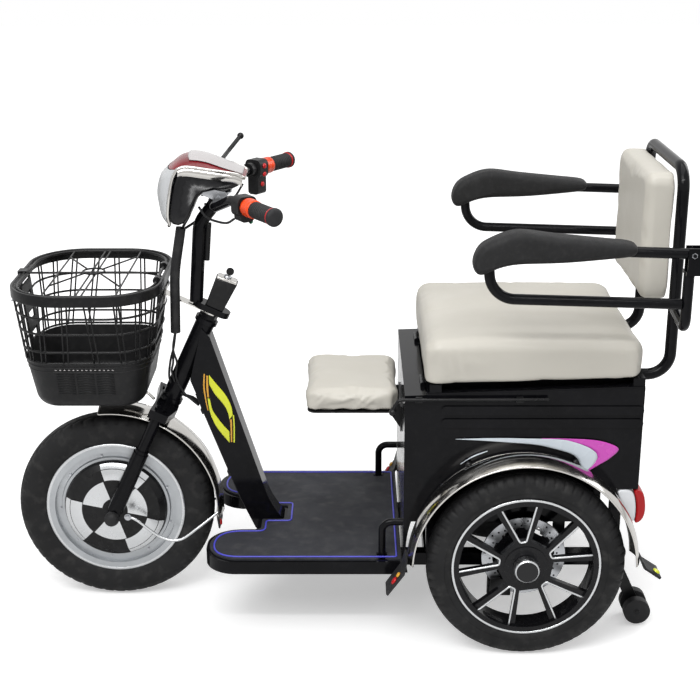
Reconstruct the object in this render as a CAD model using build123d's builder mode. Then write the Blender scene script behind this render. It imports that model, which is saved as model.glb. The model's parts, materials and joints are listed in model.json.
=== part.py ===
from build123d import *
import os
from math import atan2, copysign, cos, degrees, pi, radians, sin, sqrt

# Three-wheel electric scooter: one steered front wheel with a hub motor, two rear wheels either
# side of a storage box, a main seat on the box lid and a folding child seat in front of it.
# +X points forward, +Y to the rider's left, +Z up. Millimetres. The origin lies on the ground
# under the middle of the vehicle.

# ---- layout -------------------------------------------------------------------------------
WHEELBASE = 928.0
REAR_TRACK = 550.0  # between the two rear tyre centre planes
REAR_AXLE_X = -417.5
FRONT_AXLE_X = REAR_AXLE_X + WHEELBASE
RUN_GAP = 6.0  # between a moving piece and what it passes
SEAT_GAP = 0.3  # between two pieces that rest on each other
SHAFT_GAP = 0.05  # radial play of a shaft in its bore
SHEET = 3.0  # pressed sheet panels

# ---- wheels -------------------------------------------------------------------------------
FRONT_TYRE_R = 229.0  # 16 x 3.0
FRONT_TYRE_W = 76.0
REAR_TYRE_R = 216.0  # 16 x 2.5
REAR_TYRE_W = 64.0
RIM_FLANGE_R = 161.5
RIM_SEAT_R = 150.0
RIM_FLANGE_T = 3.7
FRONT_RIM_W = 62.0
REAR_RIM_W = 54.0
MOTOR_R = 120.0
MOTOR_W = 88.0
AXLE_R = 7.0
STUB_R = 10.0
DISC_R = 92.0
CAP_R = 27.0
CAP_END_Y = REAR_TRACK / 2 + 47.0
ANTI_TIP_R = 30.0
ANTI_TIP_W = 20.0
ANTI_TIP_LIFT = 7.0
ANTI_TIP_Y = 145.0
ANTI_TIP_X = REAR_AXLE_X - 275.0

# ---- steering -----------------------------------------------------------------------------
RAKE = 25.0
FORK_OFFSET = 13.0
FORK_HALF = 68.0  # leg centre to centre plane
SLIDER_R = 18.0
STANCHION_R = 13.0
CROWN_Z = 268.0  # along the steering axis, from the axle
CROWN_T = 20.0
HEAD_Z = 294.0
HEAD_LENGTH = 216.0
HEAD_R = 22.0
STEERER_R = 12.7
BAR_R = 11.0
BAR_Z = 957.0
BAR_X = FRONT_AXLE_X - 260.0
GRIP_R = 17.5
GRIP_LENGTH = 108.0
GRIP_END = (FRONT_AXLE_X - 401.0, 300.0, 987.0)
GRIP_START = (FRONT_AXLE_X - 332.0, 205.0, 992.0)
FENDER_GAP = 12.0

# ---- frame, floor, box --------------------------------------------------------------------
RAIL = 30.0
RAIL_Y = 120.0
FLOOR_Z = 200.0
FLOOR_T = 30.0
FLOOR_W = 490.0
FLOOR_NOTCH_W = 170.0
FLOOR_FRONT_X = FRONT_AXLE_X - 226.0
NOTCH_X = FRONT_AXLE_X - 336.0
MAT_T = 4.0
COLUMN_W = 54.0
BOX_W = 456.0
BOX_FRONT_X = REAR_AXLE_X + 263.0
BOX_REAR_X = REAR_AXLE_X - 245.0
BOX_FLOOR_Z = 290.0
BOX_STEP_Z = 368.0  # raised floor behind, over the tail lamps
BOX_TOP_Z = 584.0  # at the front wall
BOX_SLOPE = 2.0  # degrees the box top rises to the rear
BOX_LEDGE = 20.0
STRIP_LENGTH = 45.0
REAR_FENDER_R = 245.0
REAR_FENDER_W = 76.0

# ---- seats --------------------------------------------------------------------------------
SEAT_TOP_Z = 707.0
SEAT_W = 484.0
SEAT_LENGTH = 472.0
SEAT_FRAME_H = 18.0
BACK_TUBE_R = 12.5
BACK_X = REAR_AXLE_X - 307.0
BACK_HALF = 165.0
BACK_TOP_Z = 1055.0
BACK_PAD_T = 60.0
BACK_PAD_Z = 765.0
ARM_Y = 305.0
ARM_R = 11.0
ARM_PIVOT = (REAR_AXLE_X - 301.0, 914.0)
ARM_PAD_W = 60.0
CHILD_W = 268.0
CHILD_LENGTH = 213.0
CHILD_TOP_Z = 558.0
CHILD_HINGE = (REAR_AXLE_X + 292.0, 495.0)

# ---- basket, lamp -------------------------------------------------------------------------
BASKET_RIM_Z = 783.0
BASKET_TUB_Z = 624.0
BASKET_FLOOR_Z = 513.0
BASKET_X = REAR_AXLE_X + 950.0
BASKET_LENGTH = 320.0
BASKET_W = 400.0
BASKET_CORNER = 115.0
LAMP_W = 136.0

os.makedirs("parts", exist_ok=True)


def finish(piece, label):
    """Name a finished piece and write it to its own file."""
    piece.part.label = label
    export_step(piece.part, f"parts/{label}.step")


def axle_plane(x, y, z):
    """Radial section of a wheel: local x along the axle, local y out along the radius."""
    return Plane(origin=(x, y, z), x_dir=(0, 1, 0), z_dir=(1, 0, 0))


def side_plane(y):
    """Side view at a distance from the centre plane: local x forward, local y up."""
    return Plane(origin=(0, y, 0), x_dir=(1, 0, 0), z_dir=(0, -1, 0))


def bent_tube(points, bends, radius):
    """Round tube or rod along straight runs joined by bends."""
    with BuildPart() as tube:
        with BuildLine() as route:
            if bends:
                FilletPolyline(*points, radius=bends)
            else:
                Polyline(*points)
        with BuildSketch(Plane(origin=route.line @ 0, z_dir=route.line % 0)):
            Circle(radius)
        sweep(path=route.line)
    return tube.part


def straight_rod(start, end, radius):
    """Round rod between two points."""
    start = Vector(*start)
    end = Vector(*end)
    with BuildPart() as rod:
        with BuildSketch(Plane(origin=start, z_dir=end - start)):
            Circle(radius)
        extrude(amount=(end - start).length)
    return rod.part


# =============================================================================================
# Wheels
# =============================================================================================


def tyre(x, y, radius, width, rim_width):
    """Solid tyre between the rim flanges, with a round shoulder and a slightly flat crown."""
    bead = rim_width / 2 - RIM_FLANGE_T - SEAT_GAP
    seat = RIM_SEAT_R + SEAT_GAP
    lip = RIM_FLANGE_R + SEAT_GAP
    shoulder = radius - width * 0.14
    with BuildPart() as body:
        with BuildSketch(axle_plane(x, y, radius)):
            with BuildLine():
                Polyline((-bead, lip), (-bead, seat), (bead, seat), (bead, lip))
                ThreePointArc((bead, lip), (width / 2, (lip + shoulder) / 2), (width * 0.37, shoulder))
                ThreePointArc((width * 0.37, shoulder), (0, radius), (-width * 0.37, shoulder))
                ThreePointArc((-width * 0.37, shoulder), (-width / 2, (lip + shoulder) / 2), (-bead, lip))
            make_face()
        revolve(axis=Axis((x, y, radius), (0, 1, 0)))
    return body.part


def rim_ring(x, y, radius, rim_width, inner_radius):
    """Rim barrel with a flange each side, open towards the hub."""
    half = rim_width / 2
    with BuildPart() as ring:
        with BuildSketch(axle_plane(x, y, radius)):
            with BuildLine():
                Polyline(
                    (-half, inner_radius),
                    (-half, RIM_FLANGE_R),
                    (-half + RIM_FLANGE_T, RIM_FLANGE_R),
                    (-half + RIM_FLANGE_T, RIM_SEAT_R),
                    (half - RIM_FLANGE_T, RIM_SEAT_R),
                    (half - RIM_FLANGE_T, RIM_FLANGE_R),
                    (half, RIM_FLANGE_R),
                    (half, inner_radius),
                    close=True,
                )
            make_face()
        revolve(axis=Axis((x, y, radius), (0, 1, 0)))
    return ring.part


with BuildPart() as front_tyre:
    add(tyre(FRONT_AXLE_X, 0, FRONT_TYRE_R, FRONT_TYRE_W, FRONT_RIM_W))
finish(front_tyre, "front_tyre")

# The front rim is one casting with a stepped web down to the motor drum.
WEB_T = 40.0
with BuildPart() as front_rim:
    add(rim_ring(FRONT_AXLE_X, 0, FRONT_TYRE_R, FRONT_RIM_W, 142.0))
    with BuildSketch(axle_plane(FRONT_AXLE_X, 0, FRONT_TYRE_R)):
        with BuildLine():
            Polyline(
                (-WEB_T / 2 - 6, MOTOR_R + SEAT_GAP),
                (-WEB_T / 2 - 6, MOTOR_R + 6),
                (-WEB_T / 2, MOTOR_R + 8),
                (-WEB_T / 2, 143.0),
                (WEB_T / 2, 143.0),
                (WEB_T / 2, MOTOR_R + 8),
                (WEB_T / 2 + 6, MOTOR_R + 6),
                (WEB_T / 2 + 6, MOTOR_R + SEAT_GAP),
                close=True,
            )
        make_face()
    revolve(axis=Axis((FRONT_AXLE_X, 0, FRONT_TYRE_R), (0, 1, 0)))
finish(front_rim, "front_rim")

with BuildPart() as hub_motor:
    with BuildSketch(axle_plane(FRONT_AXLE_X, 0, FRONT_TYRE_R)):
        with BuildLine():
            Polyline(
                (-MOTOR_W / 2, AXLE_R + SHAFT_GAP),
                (-MOTOR_W / 2, MOTOR_R - 16),
                (-MOTOR_W / 2 + 9, MOTOR_R - 3),
                (-WEB_T / 2 - 7, MOTOR_R),
                (WEB_T / 2 + 7, MOTOR_R),
                (MOTOR_W / 2 - 9, MOTOR_R - 3),
                (MOTOR_W / 2, MOTOR_R - 16),
                (MOTOR_W / 2, AXLE_R + SHAFT_GAP),
                close=True,
            )
        make_face()
    revolve(axis=Axis((FRONT_AXLE_X, 0, FRONT_TYRE_R), (0, 1, 0)))
finish(hub_motor, "hub_motor")

# ---- rear alloy wheel: ten spokes in five pairs, each pair closing in a V at the hub -----------
SPOKE_T = 14.0
SPOKE_HALF = 7.0
SPOKE_REACH = 148.0
VEE_R = 60.0
VEE_START = 82.0  # degrees from +X up to the first V
HUB_R = 47.0
HUB_W = 46.0


def rear_wheel(side):
    """Alloy wheel, hub, protruding cap and drilled brake disc on one side."""
    y = side * REAR_TRACK / 2
    centre = (REAR_AXLE_X, y, REAR_TYRE_R)
    rim_half = SPOKE_REACH * sin(radians(18))
    cap_end = side * (CAP_END_Y - REAR_TRACK / 2)
    vee_angle = -side * VEE_START

    def face(step):
        """Plane across the wheel, a step out from its middle and facing outwards."""
        return Plane(
            origin=(REAR_AXLE_X, y + side * step, REAR_TYRE_R), x_dir=(1, 0, 0), z_dir=(0, side, 0)
        )

    with BuildPart() as wheel:
        with BuildSketch(face(6.0)):
            Circle(SPOKE_REACH)
            with PolarLocations(0, 5, start_angle=vee_angle):
                Polygon(
                    (VEE_R, -SPOKE_HALF),
                    (VEE_R, SPOKE_HALF),
                    (SPOKE_REACH - 5, rim_half - SPOKE_HALF),
                    (SPOKE_REACH - 5, SPOKE_HALF - rim_half),
                    align=None,
                    mode=Mode.SUBTRACT,
                )
            with PolarLocations(0, 5, start_angle=vee_angle + 36):
                Polygon(
                    (VEE_R - 3, -20.0),
                    (VEE_R - 3, 20.0),
                    (SPOKE_REACH - 7, rim_half - SPOKE_HALF),
                    (SPOKE_REACH - 7, SPOKE_HALF - rim_half),
                    align=None,
                    mode=Mode.SUBTRACT,
                )
        extrude(amount=SPOKE_T)
        add(rim_ring(REAR_AXLE_X, y, REAR_TYRE_R, REAR_RIM_W, 145.0))
        with BuildSketch(axle_plane(*centre)):
            with BuildLine():
                Polyline(
                    (-HUB_W / 2 * side, 0),
                    (-HUB_W / 2 * side, HUB_R),
                    (22.0 * side, HUB_R),
                    (22.0 * side, CAP_R),
                    (cap_end - 3 * side, CAP_R),
                    (cap_end, CAP_R - 4),
                    (cap_end, 0),
                    close=True,
                )
            make_face()
        revolve(axis=Axis(centre, (0, 1, 0)))
        with BuildSketch(face(-34.0)):
            Circle(DISC_R)
            with PolarLocations(DISC_R - 26, 6):
                SlotOverall(30, 16, rotation=90, mode=Mode.SUBTRACT)
        extrude(amount=4.0)
        with BuildSketch(face(-30.0)):
            Circle(36.0)
        extrude(amount=30.0 - HUB_W / 2)
        with BuildSketch(face(-40.0)):
            Circle(STUB_R + SHAFT_GAP)
        extrude(amount=66.0, mode=Mode.SUBTRACT)
    return wheel.part


for side, name in ((1, "left"), (-1, "right")):
    with BuildPart() as rear_tyre:
        add(tyre(REAR_AXLE_X, side * REAR_TRACK / 2, REAR_TYRE_R, REAR_TYRE_W, REAR_RIM_W))
    finish(rear_tyre, f"rear_tyre_{name}")
    with BuildPart() as alloy_wheel:
        add(rear_wheel(side))
    finish(alloy_wheel, f"rear_wheel_{name}")

    # Twin rollers on one sleeve behind the rear axle.
    roller_z = ANTI_TIP_R + ANTI_TIP_LIFT
    roller_centre = (ANTI_TIP_X, side * ANTI_TIP_Y, roller_z)
    with BuildPart() as rollers:
        with BuildSketch(axle_plane(*roller_centre)):
            for step in (-1, 1):
                with Locations((step * 23.0, (ANTI_TIP_R + 6.0) / 2)):
                    Rectangle(ANTI_TIP_W, ANTI_TIP_R - 6.0)
        revolve(axis=Axis(roller_centre, (0, 1, 0)))
    finish(rollers, f"anti_tip_wheels_{name}")

# =============================================================================================
# Steering: everything that turns with the bar
# =============================================================================================

# Local x points forward and up across the steering axis, local z up along it. The plane's origin
# is the point of the steering axis level with the front axle.
rake_sin = sin(radians(RAKE))
rake_cos = cos(radians(RAKE))
AXIS_X = FRONT_AXLE_X - FORK_OFFSET * rake_cos
AXIS_Z = FRONT_TYRE_R - FORK_OFFSET * rake_sin


def steer_point(x, y, z):
    """A point given across and along the steering axis, in the vehicle's own axes."""
    return (AXIS_X + x * rake_cos - z * rake_sin, y, AXIS_Z + x * rake_sin + z * rake_cos)


def steer_plane(z, x=0.0, y=0.0):
    """Plane across the steering axis at a height along it."""
    return Plane(
        origin=steer_point(x, y, z), x_dir=(rake_cos, 0, rake_sin), z_dir=(-rake_sin, 0, rake_cos)
    )


STEERER_TOP_Z = HEAD_Z + HEAD_LENGTH + 34.0
with BuildPart() as fork:
    for side in (-1, 1):
        with BuildSketch(steer_plane(-16.0, FORK_OFFSET, side * FORK_HALF)):
            SlotOverall(2 * SLIDER_R - 5, 14.0)
        extrude(amount=34.0)
        with BuildSketch(steer_plane(14.0, FORK_OFFSET, side * FORK_HALF)):
            Circle(SLIDER_R)
        extrude(amount=158.0)
        with BuildSketch(steer_plane(172.0, FORK_OFFSET, side * FORK_HALF)):
            Circle(SLIDER_R - 2)
        extrude(amount=8.0)
        with BuildSketch(steer_plane(180.0, FORK_OFFSET, side * FORK_HALF)):
            Circle(STANCHION_R)
        extrude(amount=CROWN_Z + CROWN_T + 4 - 180.0)
    with BuildSketch(steer_plane(CROWN_Z)):
        with BuildLine():
            Polyline((-24, -30), (-24, 30), (FORK_OFFSET - 22, FORK_HALF + 22))
            Polyline((FORK_OFFSET - 22, FORK_HALF + 22), (FORK_OFFSET + 22, FORK_HALF + 22), (30, 30))
            Polyline((30, 30), (30, -30), (FORK_OFFSET + 22, -FORK_HALF - 22))
            Polyline((FORK_OFFSET + 22, -FORK_HALF - 22), (FORK_OFFSET - 22, -FORK_HALF - 22), (-24, -30))
        make_face()
    extrude(amount=CROWN_T)
    with BuildSketch(steer_plane(CROWN_Z + CROWN_T)):
        Circle(STEERER_R)
    extrude(amount=STEERER_TOP_Z - CROWN_Z - CROWN_T)
    with BuildSketch(steer_plane(CROWN_Z + CROWN_T)):
        Circle(HEAD_R + 2)
    extrude(amount=HEAD_Z - SEAT_GAP - CROWN_Z - CROWN_T)
    # fixed front axle with a nut and a round cover outside each leg
    axle_centre = (FRONT_AXLE_X, 0, FRONT_TYRE_R)
    with BuildSketch(axle_plane(*axle_centre)):
        Rectangle(2 * FORK_HALF + 36, AXLE_R, align=(Align.CENTER, Align.MIN))
        for side in (-1, 1):
            with Locations((side * (FORK_HALF + 7 + 9), 0)):
                Rectangle(18, 15.0, align=(Align.CENTER, Align.MIN))
    revolve(axis=Axis(axle_centre, (0, 1, 0)))
finish(fork, "fork")

LAMP_FRONT_X = REAR_AXLE_X + 790.0
LAMP_REAR_X = REAR_AXLE_X + 604.0
LAMP_SEAM_Z = 1012.0
LAMP_BACK = (LAMP_REAR_X + 8, 986.0)
LAMP_CHIN = (LAMP_FRONT_X - 84, 972.0)


def lamp_under(x):
    """Height of the head lamp's sloping underside."""
    share = (x - LAMP_BACK[0]) / (LAMP_CHIN[0] - LAMP_BACK[0])
    return LAMP_BACK[1] + share * (LAMP_CHIN[1] - LAMP_BACK[1])


# Top yoke on the steerer, its riser, the clamp that holds the bar and the plate under the lamp.
NUT_T = 14.0
BAR_PLATE_T = 3.5
NUT_Z = HEAD_Z + HEAD_LENGTH + SEAT_GAP
BAR_PLATE_Z = NUT_Z + NUT_T + SEAT_GAP
YOKE_Z = BAR_PLATE_Z + BAR_PLATE_T + SEAT_GAP
riser_foot = steer_point(38.0, 0, YOKE_Z + 8)
with BuildPart() as stem:
    with BuildSketch(steer_plane(YOKE_Z)):
        SlotOverall(86, 44)
    extrude(amount=14.0)
    with BuildSketch(steer_plane(YOKE_Z - 1)):
        Circle(STEERER_R + SHAFT_GAP)
    extrude(amount=16.0, mode=Mode.SUBTRACT)
    with BuildSketch(steer_plane(NUT_Z)):
        RegularPolygon(21.0, 8)
        Circle(STEERER_R + SHAFT_GAP, mode=Mode.SUBTRACT)
    extrude(amount=NUT_T)
    add(
        bent_tube(
            [riser_foot, (riser_foot[0] - 14, 0, 905), (BAR_X, 0, BAR_Z)],
            [60.0],
            15.0,
        )
    )
    with BuildSketch(side_plane(26.0)):
        with Locations((BAR_X, BAR_Z)):
            Circle(19.0)
    extrude(amount=52.0)
    # plate under the head lamp
    with BuildSketch(side_plane(20.0)):
        with BuildLine():
            Polyline(
                (BAR_X - 30, lamp_under(BAR_X - 30) - SEAT_GAP),
                (BAR_X + 34, lamp_under(BAR_X + 34) - SEAT_GAP),
                (BAR_X + 34, lamp_under(BAR_X + 34) - SEAT_GAP - 4),
                (BAR_X - 30, lamp_under(BAR_X - 30) - SEAT_GAP - 4),
                close=True,
            )
        make_face()
    extrude(amount=40.0)
    with BuildSketch(side_plane(30.0)):
        with Locations((BAR_X, BAR_Z)):
            Circle(BAR_R + SHAFT_GAP)
    extrude(amount=60.0, mode=Mode.SUBTRACT)
finish(stem, "stem")


def mirrored(point):
    """The same point on the other side of the centre plane."""
    return (point[0], -point[1], point[2])


bar_knee = (BAR_X, 78.0, BAR_Z)
bar_shoulder = (GRIP_START[0] + 30, 150.0, GRIP_START[2] - 4)
with BuildPart() as handlebar:
    add(
        bent_tube(
            [
                mirrored(GRIP_END),
                mirrored(bar_shoulder),
                mirrored(bar_knee),
                bar_knee,
                bar_shoulder,
                GRIP_END,
            ],
            [40.0, 30.0, 30.0, 40.0],
            BAR_R,
        )
    )
finish(handlebar, "handlebar")

grip_axis = (Vector(*GRIP_END) - Vector(*bar_shoulder)).normalized()


def bar_frame(distance, side=1):
    """Plane across one end of the bar, a distance in from its tip, facing the tip."""
    origin = Vector(*GRIP_END) - grip_axis * distance
    out = grip_axis
    if side < 0:
        origin = Vector(origin.X, -origin.Y, origin.Z)
        out = Vector(out.X, -out.Y, out.Z)
    return Plane(origin=origin, x_dir=Vector(0, 0, 1).cross(out), z_dir=out)


with BuildPart() as grips:
    for side in (1, -1):
        with BuildSketch(bar_frame(GRIP_LENGTH, side)):
            Circle(GRIP_R)
            Circle(BAR_R + SEAT_GAP, mode=Mode.SUBTRACT)
        extrude(amount=GRIP_LENGTH)
        with BuildSketch(bar_frame(-SEAT_GAP, side)):
            Circle(GRIP_R + 1.5)
        extrude(amount=6.0)
        with BuildSketch(bar_frame(SEAT_GAP, side)):
            Circle(GRIP_R)
            Circle(BAR_R + SEAT_GAP, mode=Mode.SUBTRACT)
        extrude(amount=2 * SEAT_GAP)
finish(grips, "grips")

HOUSING_W = 30.0
HOUSING_DROPS = ((1, 32.0), (-1, 60.0))  # the key pad under the right one is longer
with BuildPart() as switch_housings:
    for side, drop in HOUSING_DROPS:
        with BuildSketch(bar_frame(GRIP_LENGTH + HOUSING_W + 1, side)):
            RectangleRounded(44, 42, 12)
            with Locations((0, -drop / 2)):
                RectangleRounded(30, drop, 8)
            Circle(BAR_R + SEAT_GAP, mode=Mode.SUBTRACT)
        extrude(amount=HOUSING_W)
finish(switch_housings, "switch_housings")

# One lever on the right pulls both rear discs.
lever_clamp = bar_frame(GRIP_LENGTH + HOUSING_W + 20, -1)
lever_root = lever_clamp.origin + Vector(60, -4, 24)
lever_tip = lever_root + Vector(-36, -106, 36)
with BuildPart() as brake_lever:
    with BuildSketch(lever_clamp):
        Circle(16.0)
        Circle(BAR_R + SEAT_GAP, mode=Mode.SUBTRACT)
    extrude(amount=14.0)
    add(
        bent_tube(
            [
                tuple(lever_clamp.origin + Vector(13, 2, 4)),
                tuple(lever_root),
                tuple(lever_root + Vector(-10, -62, 8)),
                tuple(lever_tip),
            ],
            [14.0, 30.0],
            5.0,
        )
    )
    with Locations(tuple(lever_tip)):
        Sphere(8.0)
finish(brake_lever, "brake_lever")

# ---- head lamp: side outline met by a plan outline, cut into housing, lens and cover -----------


def lamp_body():
    """The whole lamp as one solid."""
    with BuildPart() as body:
        with BuildSketch(side_plane(LAMP_W / 2)):
            with BuildLine():
                Polyline(
                    (LAMP_FRONT_X - 36, 905.0),
                    (LAMP_FRONT_X - 52, 912.0),
                    LAMP_CHIN,
                    LAMP_BACK,
                    (LAMP_REAR_X, 1000.0),
                    (LAMP_REAR_X + 14, 1022.0),
                )
                Spline(
                    (LAMP_REAR_X + 14, 1022.0),
                    (LAMP_FRONT_X - 100, 1048.0),
                    (LAMP_FRONT_X - 26, 1048.0),
                    tangents=((1, 0.6), (1, -0.45)),
                )
                ThreePointArc(
                    (LAMP_FRONT_X - 26, 1048.0), (LAMP_FRONT_X, 985.0), (LAMP_FRONT_X - 36, 905.0)
                )
            make_face()
        extrude(amount=LAMP_W)
        with BuildSketch(Plane.XY.offset(880.0)):
            with BuildLine():
                Polyline(
                    (LAMP_REAR_X, -48),
                    (LAMP_REAR_X, 48),
                    (LAMP_FRONT_X - 90, LAMP_W / 2),
                    (LAMP_FRONT_X - 40, LAMP_W / 2),
                )
                ThreePointArc(
                    (LAMP_FRONT_X - 40, LAMP_W / 2), (LAMP_FRONT_X, 0), (LAMP_FRONT_X - 40, -LAMP_W / 2)
                )
                Polyline(
                    (LAMP_FRONT_X - 40, -LAMP_W / 2), (LAMP_FRONT_X - 90, -LAMP_W / 2), (LAMP_REAR_X, -48)
                )
            make_face()
        extrude(amount=190.0, mode=Mode.INTERSECT)
    return body.part


lamp_seam = Plane(origin=(LAMP_REAR_X, 0, LAMP_SEAM_Z), z_dir=(-0.08, 0, 1))
lens_seam = Plane(origin=(LAMP_FRONT_X - 32, 0, LAMP_SEAM_Z), z_dir=(1, 0, -0.06))
with BuildPart() as headlamp_housing:
    add(lamp_body())
    split(bisect_by=lamp_seam.offset(-SEAT_GAP), keep=Keep.BOTTOM)
    split(bisect_by=lens_seam.offset(-SEAT_GAP), keep=Keep.BOTTOM)
finish(headlamp_housing, "headlamp_housing")
with BuildPart() as headlamp_lens:
    add(lamp_body())
    split(bisect_by=lens_seam, keep=Keep.TOP)
finish(headlamp_lens, "headlamp_lens")
with BuildPart() as headlamp_cover:
    add(lamp_body())
    split(bisect_by=lamp_seam, keep=Keep.TOP)
    split(bisect_by=lens_seam.offset(-SEAT_GAP), keep=Keep.BOTTOM)
finish(headlamp_cover, "headlamp_cover")

# ---- key and lock box on the yoke --------------------------------------------------------------
with BuildPart() as lock_box:
    with BuildSketch(steer_plane(YOKE_Z + 14 + SEAT_GAP, -4.0)):
        RectangleRounded(34, 40, 5)
    extrude(amount=62.0)
    with BuildSketch(steer_plane(YOKE_Z + 13, 0)):
        Circle(STEERER_R + 1)
    extrude(amount=4.0, mode=Mode.SUBTRACT)
finish(lock_box, "lock_box")

# ---- basket: moulded tub, wire upper part with a thick rim, bracket and stay ---------------------
BASKET_WALL = 3.0
TUB_LENGTH = 278.0
TUB_W = 292.0
TUB_X = BASKET_X + 5.0
TUB_CORNER = 72.0
TUB_DRAFT = 11.0  # degrees the walls lean out
TUB_EDGE = 34.0  # rounding between the floor and the walls
tub_height = BASKET_TUB_Z - BASKET_FLOOR_Z


def tub_solid(inset):
    """The tub's outside, or its hollow when inset by the wall."""
    with BuildPart() as solid:
        with BuildSketch(Plane.XY.offset(BASKET_TUB_Z)):
            with Locations((TUB_X, 0)):
                RectangleRounded(TUB_LENGTH - 2 * inset, TUB_W - 2 * inset, TUB_CORNER - inset)
        extrude(amount=-(tub_height - inset), taper=TUB_DRAFT)
        fillet(solid.faces().sort_by(Axis.Z)[0].edges(), TUB_EDGE - inset)
    return solid.part


WIRE_R = 2.0
RING_WIRE_R = 2.5
BAND_H = 24.0
BAND_T = 7.0
PLATE_T = 4.0
PLATE_W = 84.0


def basket_share(z):
    """How far a height lies from the tub's rim, 0, to the basket's rim, 1."""
    return (z - BASKET_TUB_Z) / (BASKET_RIM_Z - BASKET_TUB_Z)


def basket_size(z):
    """Length, width, middle and corner radius of the wire part at a height."""
    share = basket_share(z)
    return tuple(
        low + (high - low) * share
        for low, high in zip(
            (TUB_LENGTH, TUB_W, TUB_X, TUB_CORNER), (BASKET_LENGTH, BASKET_W, BASKET_X, BASKET_CORNER)
        )
    )


def basket_side(z, side, inset):
    """A point of the side view, an inset in from the front (1) or rear (-1) wires."""
    length, _, x, _ = basket_size(z)
    return (x + side * (length / 2 - inset), z)


def upright_plate(side):
    """Flat plate from the tub's rim to the basket's rim, inside the front or rear wires."""
    inset = RING_WIRE_R + SEAT_GAP
    foot = BASKET_TUB_Z - 10
    head = BASKET_RIM_Z - BAND_H / 2 - SEAT_GAP
    with BuildPart() as plate:
        with BuildSketch(side_plane(PLATE_W / 2)):
            with BuildLine():
                Polyline(
                    basket_side(foot, side, inset),
                    basket_side(head, side, inset),
                    basket_side(head, side, inset + PLATE_T),
                    basket_side(foot, side, inset + PLATE_T),
                    close=True,
                )
            make_face()
        extrude(amount=PLATE_W)
    return plate.part


with BuildPart() as basket_tub:
    add(tub_solid(0))
    add(upright_plate(1))
    add(upright_plate(-1))
    add(tub_solid(BASKET_WALL), mode=Mode.SUBTRACT)
    add(upright_plate(1))
    add(upright_plate(-1))
    # Three windows through the front plate.
    for window in range(3):
        with Locations((basket_side(BASKET_TUB_Z, 1, 0)[0], 0, BASKET_TUB_Z + 30 + 42 * window)):
            Box(60, 46, 20, mode=Mode.SUBTRACT)
finish(basket_tub, "basket_tub")


def wire_ring(z, radius):
    """Closed hoop round the basket."""
    length, width, x, corner = basket_size(z)
    with BuildPart() as hoop:
        with BuildLine(Plane(origin=(x, 0, z))) as loop:
            FilletPolyline(
                (length / 2, -width / 2),
                (length / 2, width / 2),
                (-length / 2, width / 2),
                (-length / 2, -width / 2),
                radius=corner,
                close=True,
            )
        with BuildSketch(Plane(origin=loop.line @ 0, z_dir=loop.line % 0)):
            Circle(radius)
        sweep(path=loop.line)
    return hoop.part


def basket_point(z, along, across, turn):
    """A point of the wire part, by its place on a straight side or by the turn round a corner."""
    length, width, x, corner = basket_size(z)
    return (
        x + along * (length / 2 - corner) + corner * copysign(cos(turn), along) * (turn < pi / 2),
        across * (width / 2 - corner) + corner * copysign(sin(turn), across) * (turn > 0),
        z,
    )


CORNER_TURNS = (20.0, 45.0, 70.0)
wire_places = [
    (side, other, radians(turn)) for side in (-1, 1) for other in (-1, 1) for turn in CORNER_TURNS
]
wire_places += [(along, side, pi / 2) for side in (-1, 1) for along in (-0.5, 0.5)]
wire_places += [(side, across, 0.0) for side in (-1, 1) for across in (-0.7, 0.7)]
RING_HEIGHTS = (BASKET_RIM_Z - 43, BASKET_RIM_Z - 82, BASKET_RIM_Z - 127, BASKET_TUB_Z + 3.5)
EYE_Y = 60.0
EYE_W = 14.0
LID_WIRE_R = 3.0
LID_SLACK = 4.5
LID_INSET = BAND_T / 2 + LID_WIRE_R + LID_SLACK  # from the rim's centre line to the lid's
LID_Z = BASKET_RIM_Z + 8.0
EYE_R = LID_WIRE_R + LID_SLACK + 1.2
lid_hinge_x = BASKET_X - BASKET_LENGTH / 2 + LID_INSET

with BuildPart() as basket_wire:
    with BuildSketch(Plane.XY.offset(BASKET_RIM_Z - BAND_H / 2)):
        with Locations((BASKET_X, 0)):
            RectangleRounded(BASKET_LENGTH + BAND_T, BASKET_W + BAND_T, BASKET_CORNER + BAND_T / 2)
            RectangleRounded(
                BASKET_LENGTH - BAND_T, BASKET_W - BAND_T, BASKET_CORNER - BAND_T / 2, mode=Mode.SUBTRACT
            )
    extrude(amount=BAND_H)
    fillet(basket_wire.edges().group_by(Axis.Z)[-1] + basket_wire.edges().group_by(Axis.Z)[0], 2.5)
    for ring_z in RING_HEIGHTS:
        add(wire_ring(ring_z, RING_WIRE_R))
    for place in wire_places:
        wire_foot = basket_point(BASKET_TUB_Z + 0.6, *place)
        wire_head = basket_point(BASKET_RIM_Z - BAND_H / 4, *place)
        add(straight_rod(wire_foot, wire_head, WIRE_R))
    for y in (-EYE_Y, EYE_Y):
        with BuildSketch(side_plane(y + EYE_W / 2)):
            with Locations((lid_hinge_x, LID_Z)):
                Circle(EYE_R)
        extrude(amount=EYE_W)
    with BuildSketch(side_plane(EYE_Y + EYE_W)):
        with Locations((lid_hinge_x, LID_Z)):
            Circle(LID_WIRE_R + SHAFT_GAP)
    extrude(amount=2 * (EYE_Y + EYE_W), mode=Mode.SUBTRACT)
finish(basket_wire, "basket_wire")

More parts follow.
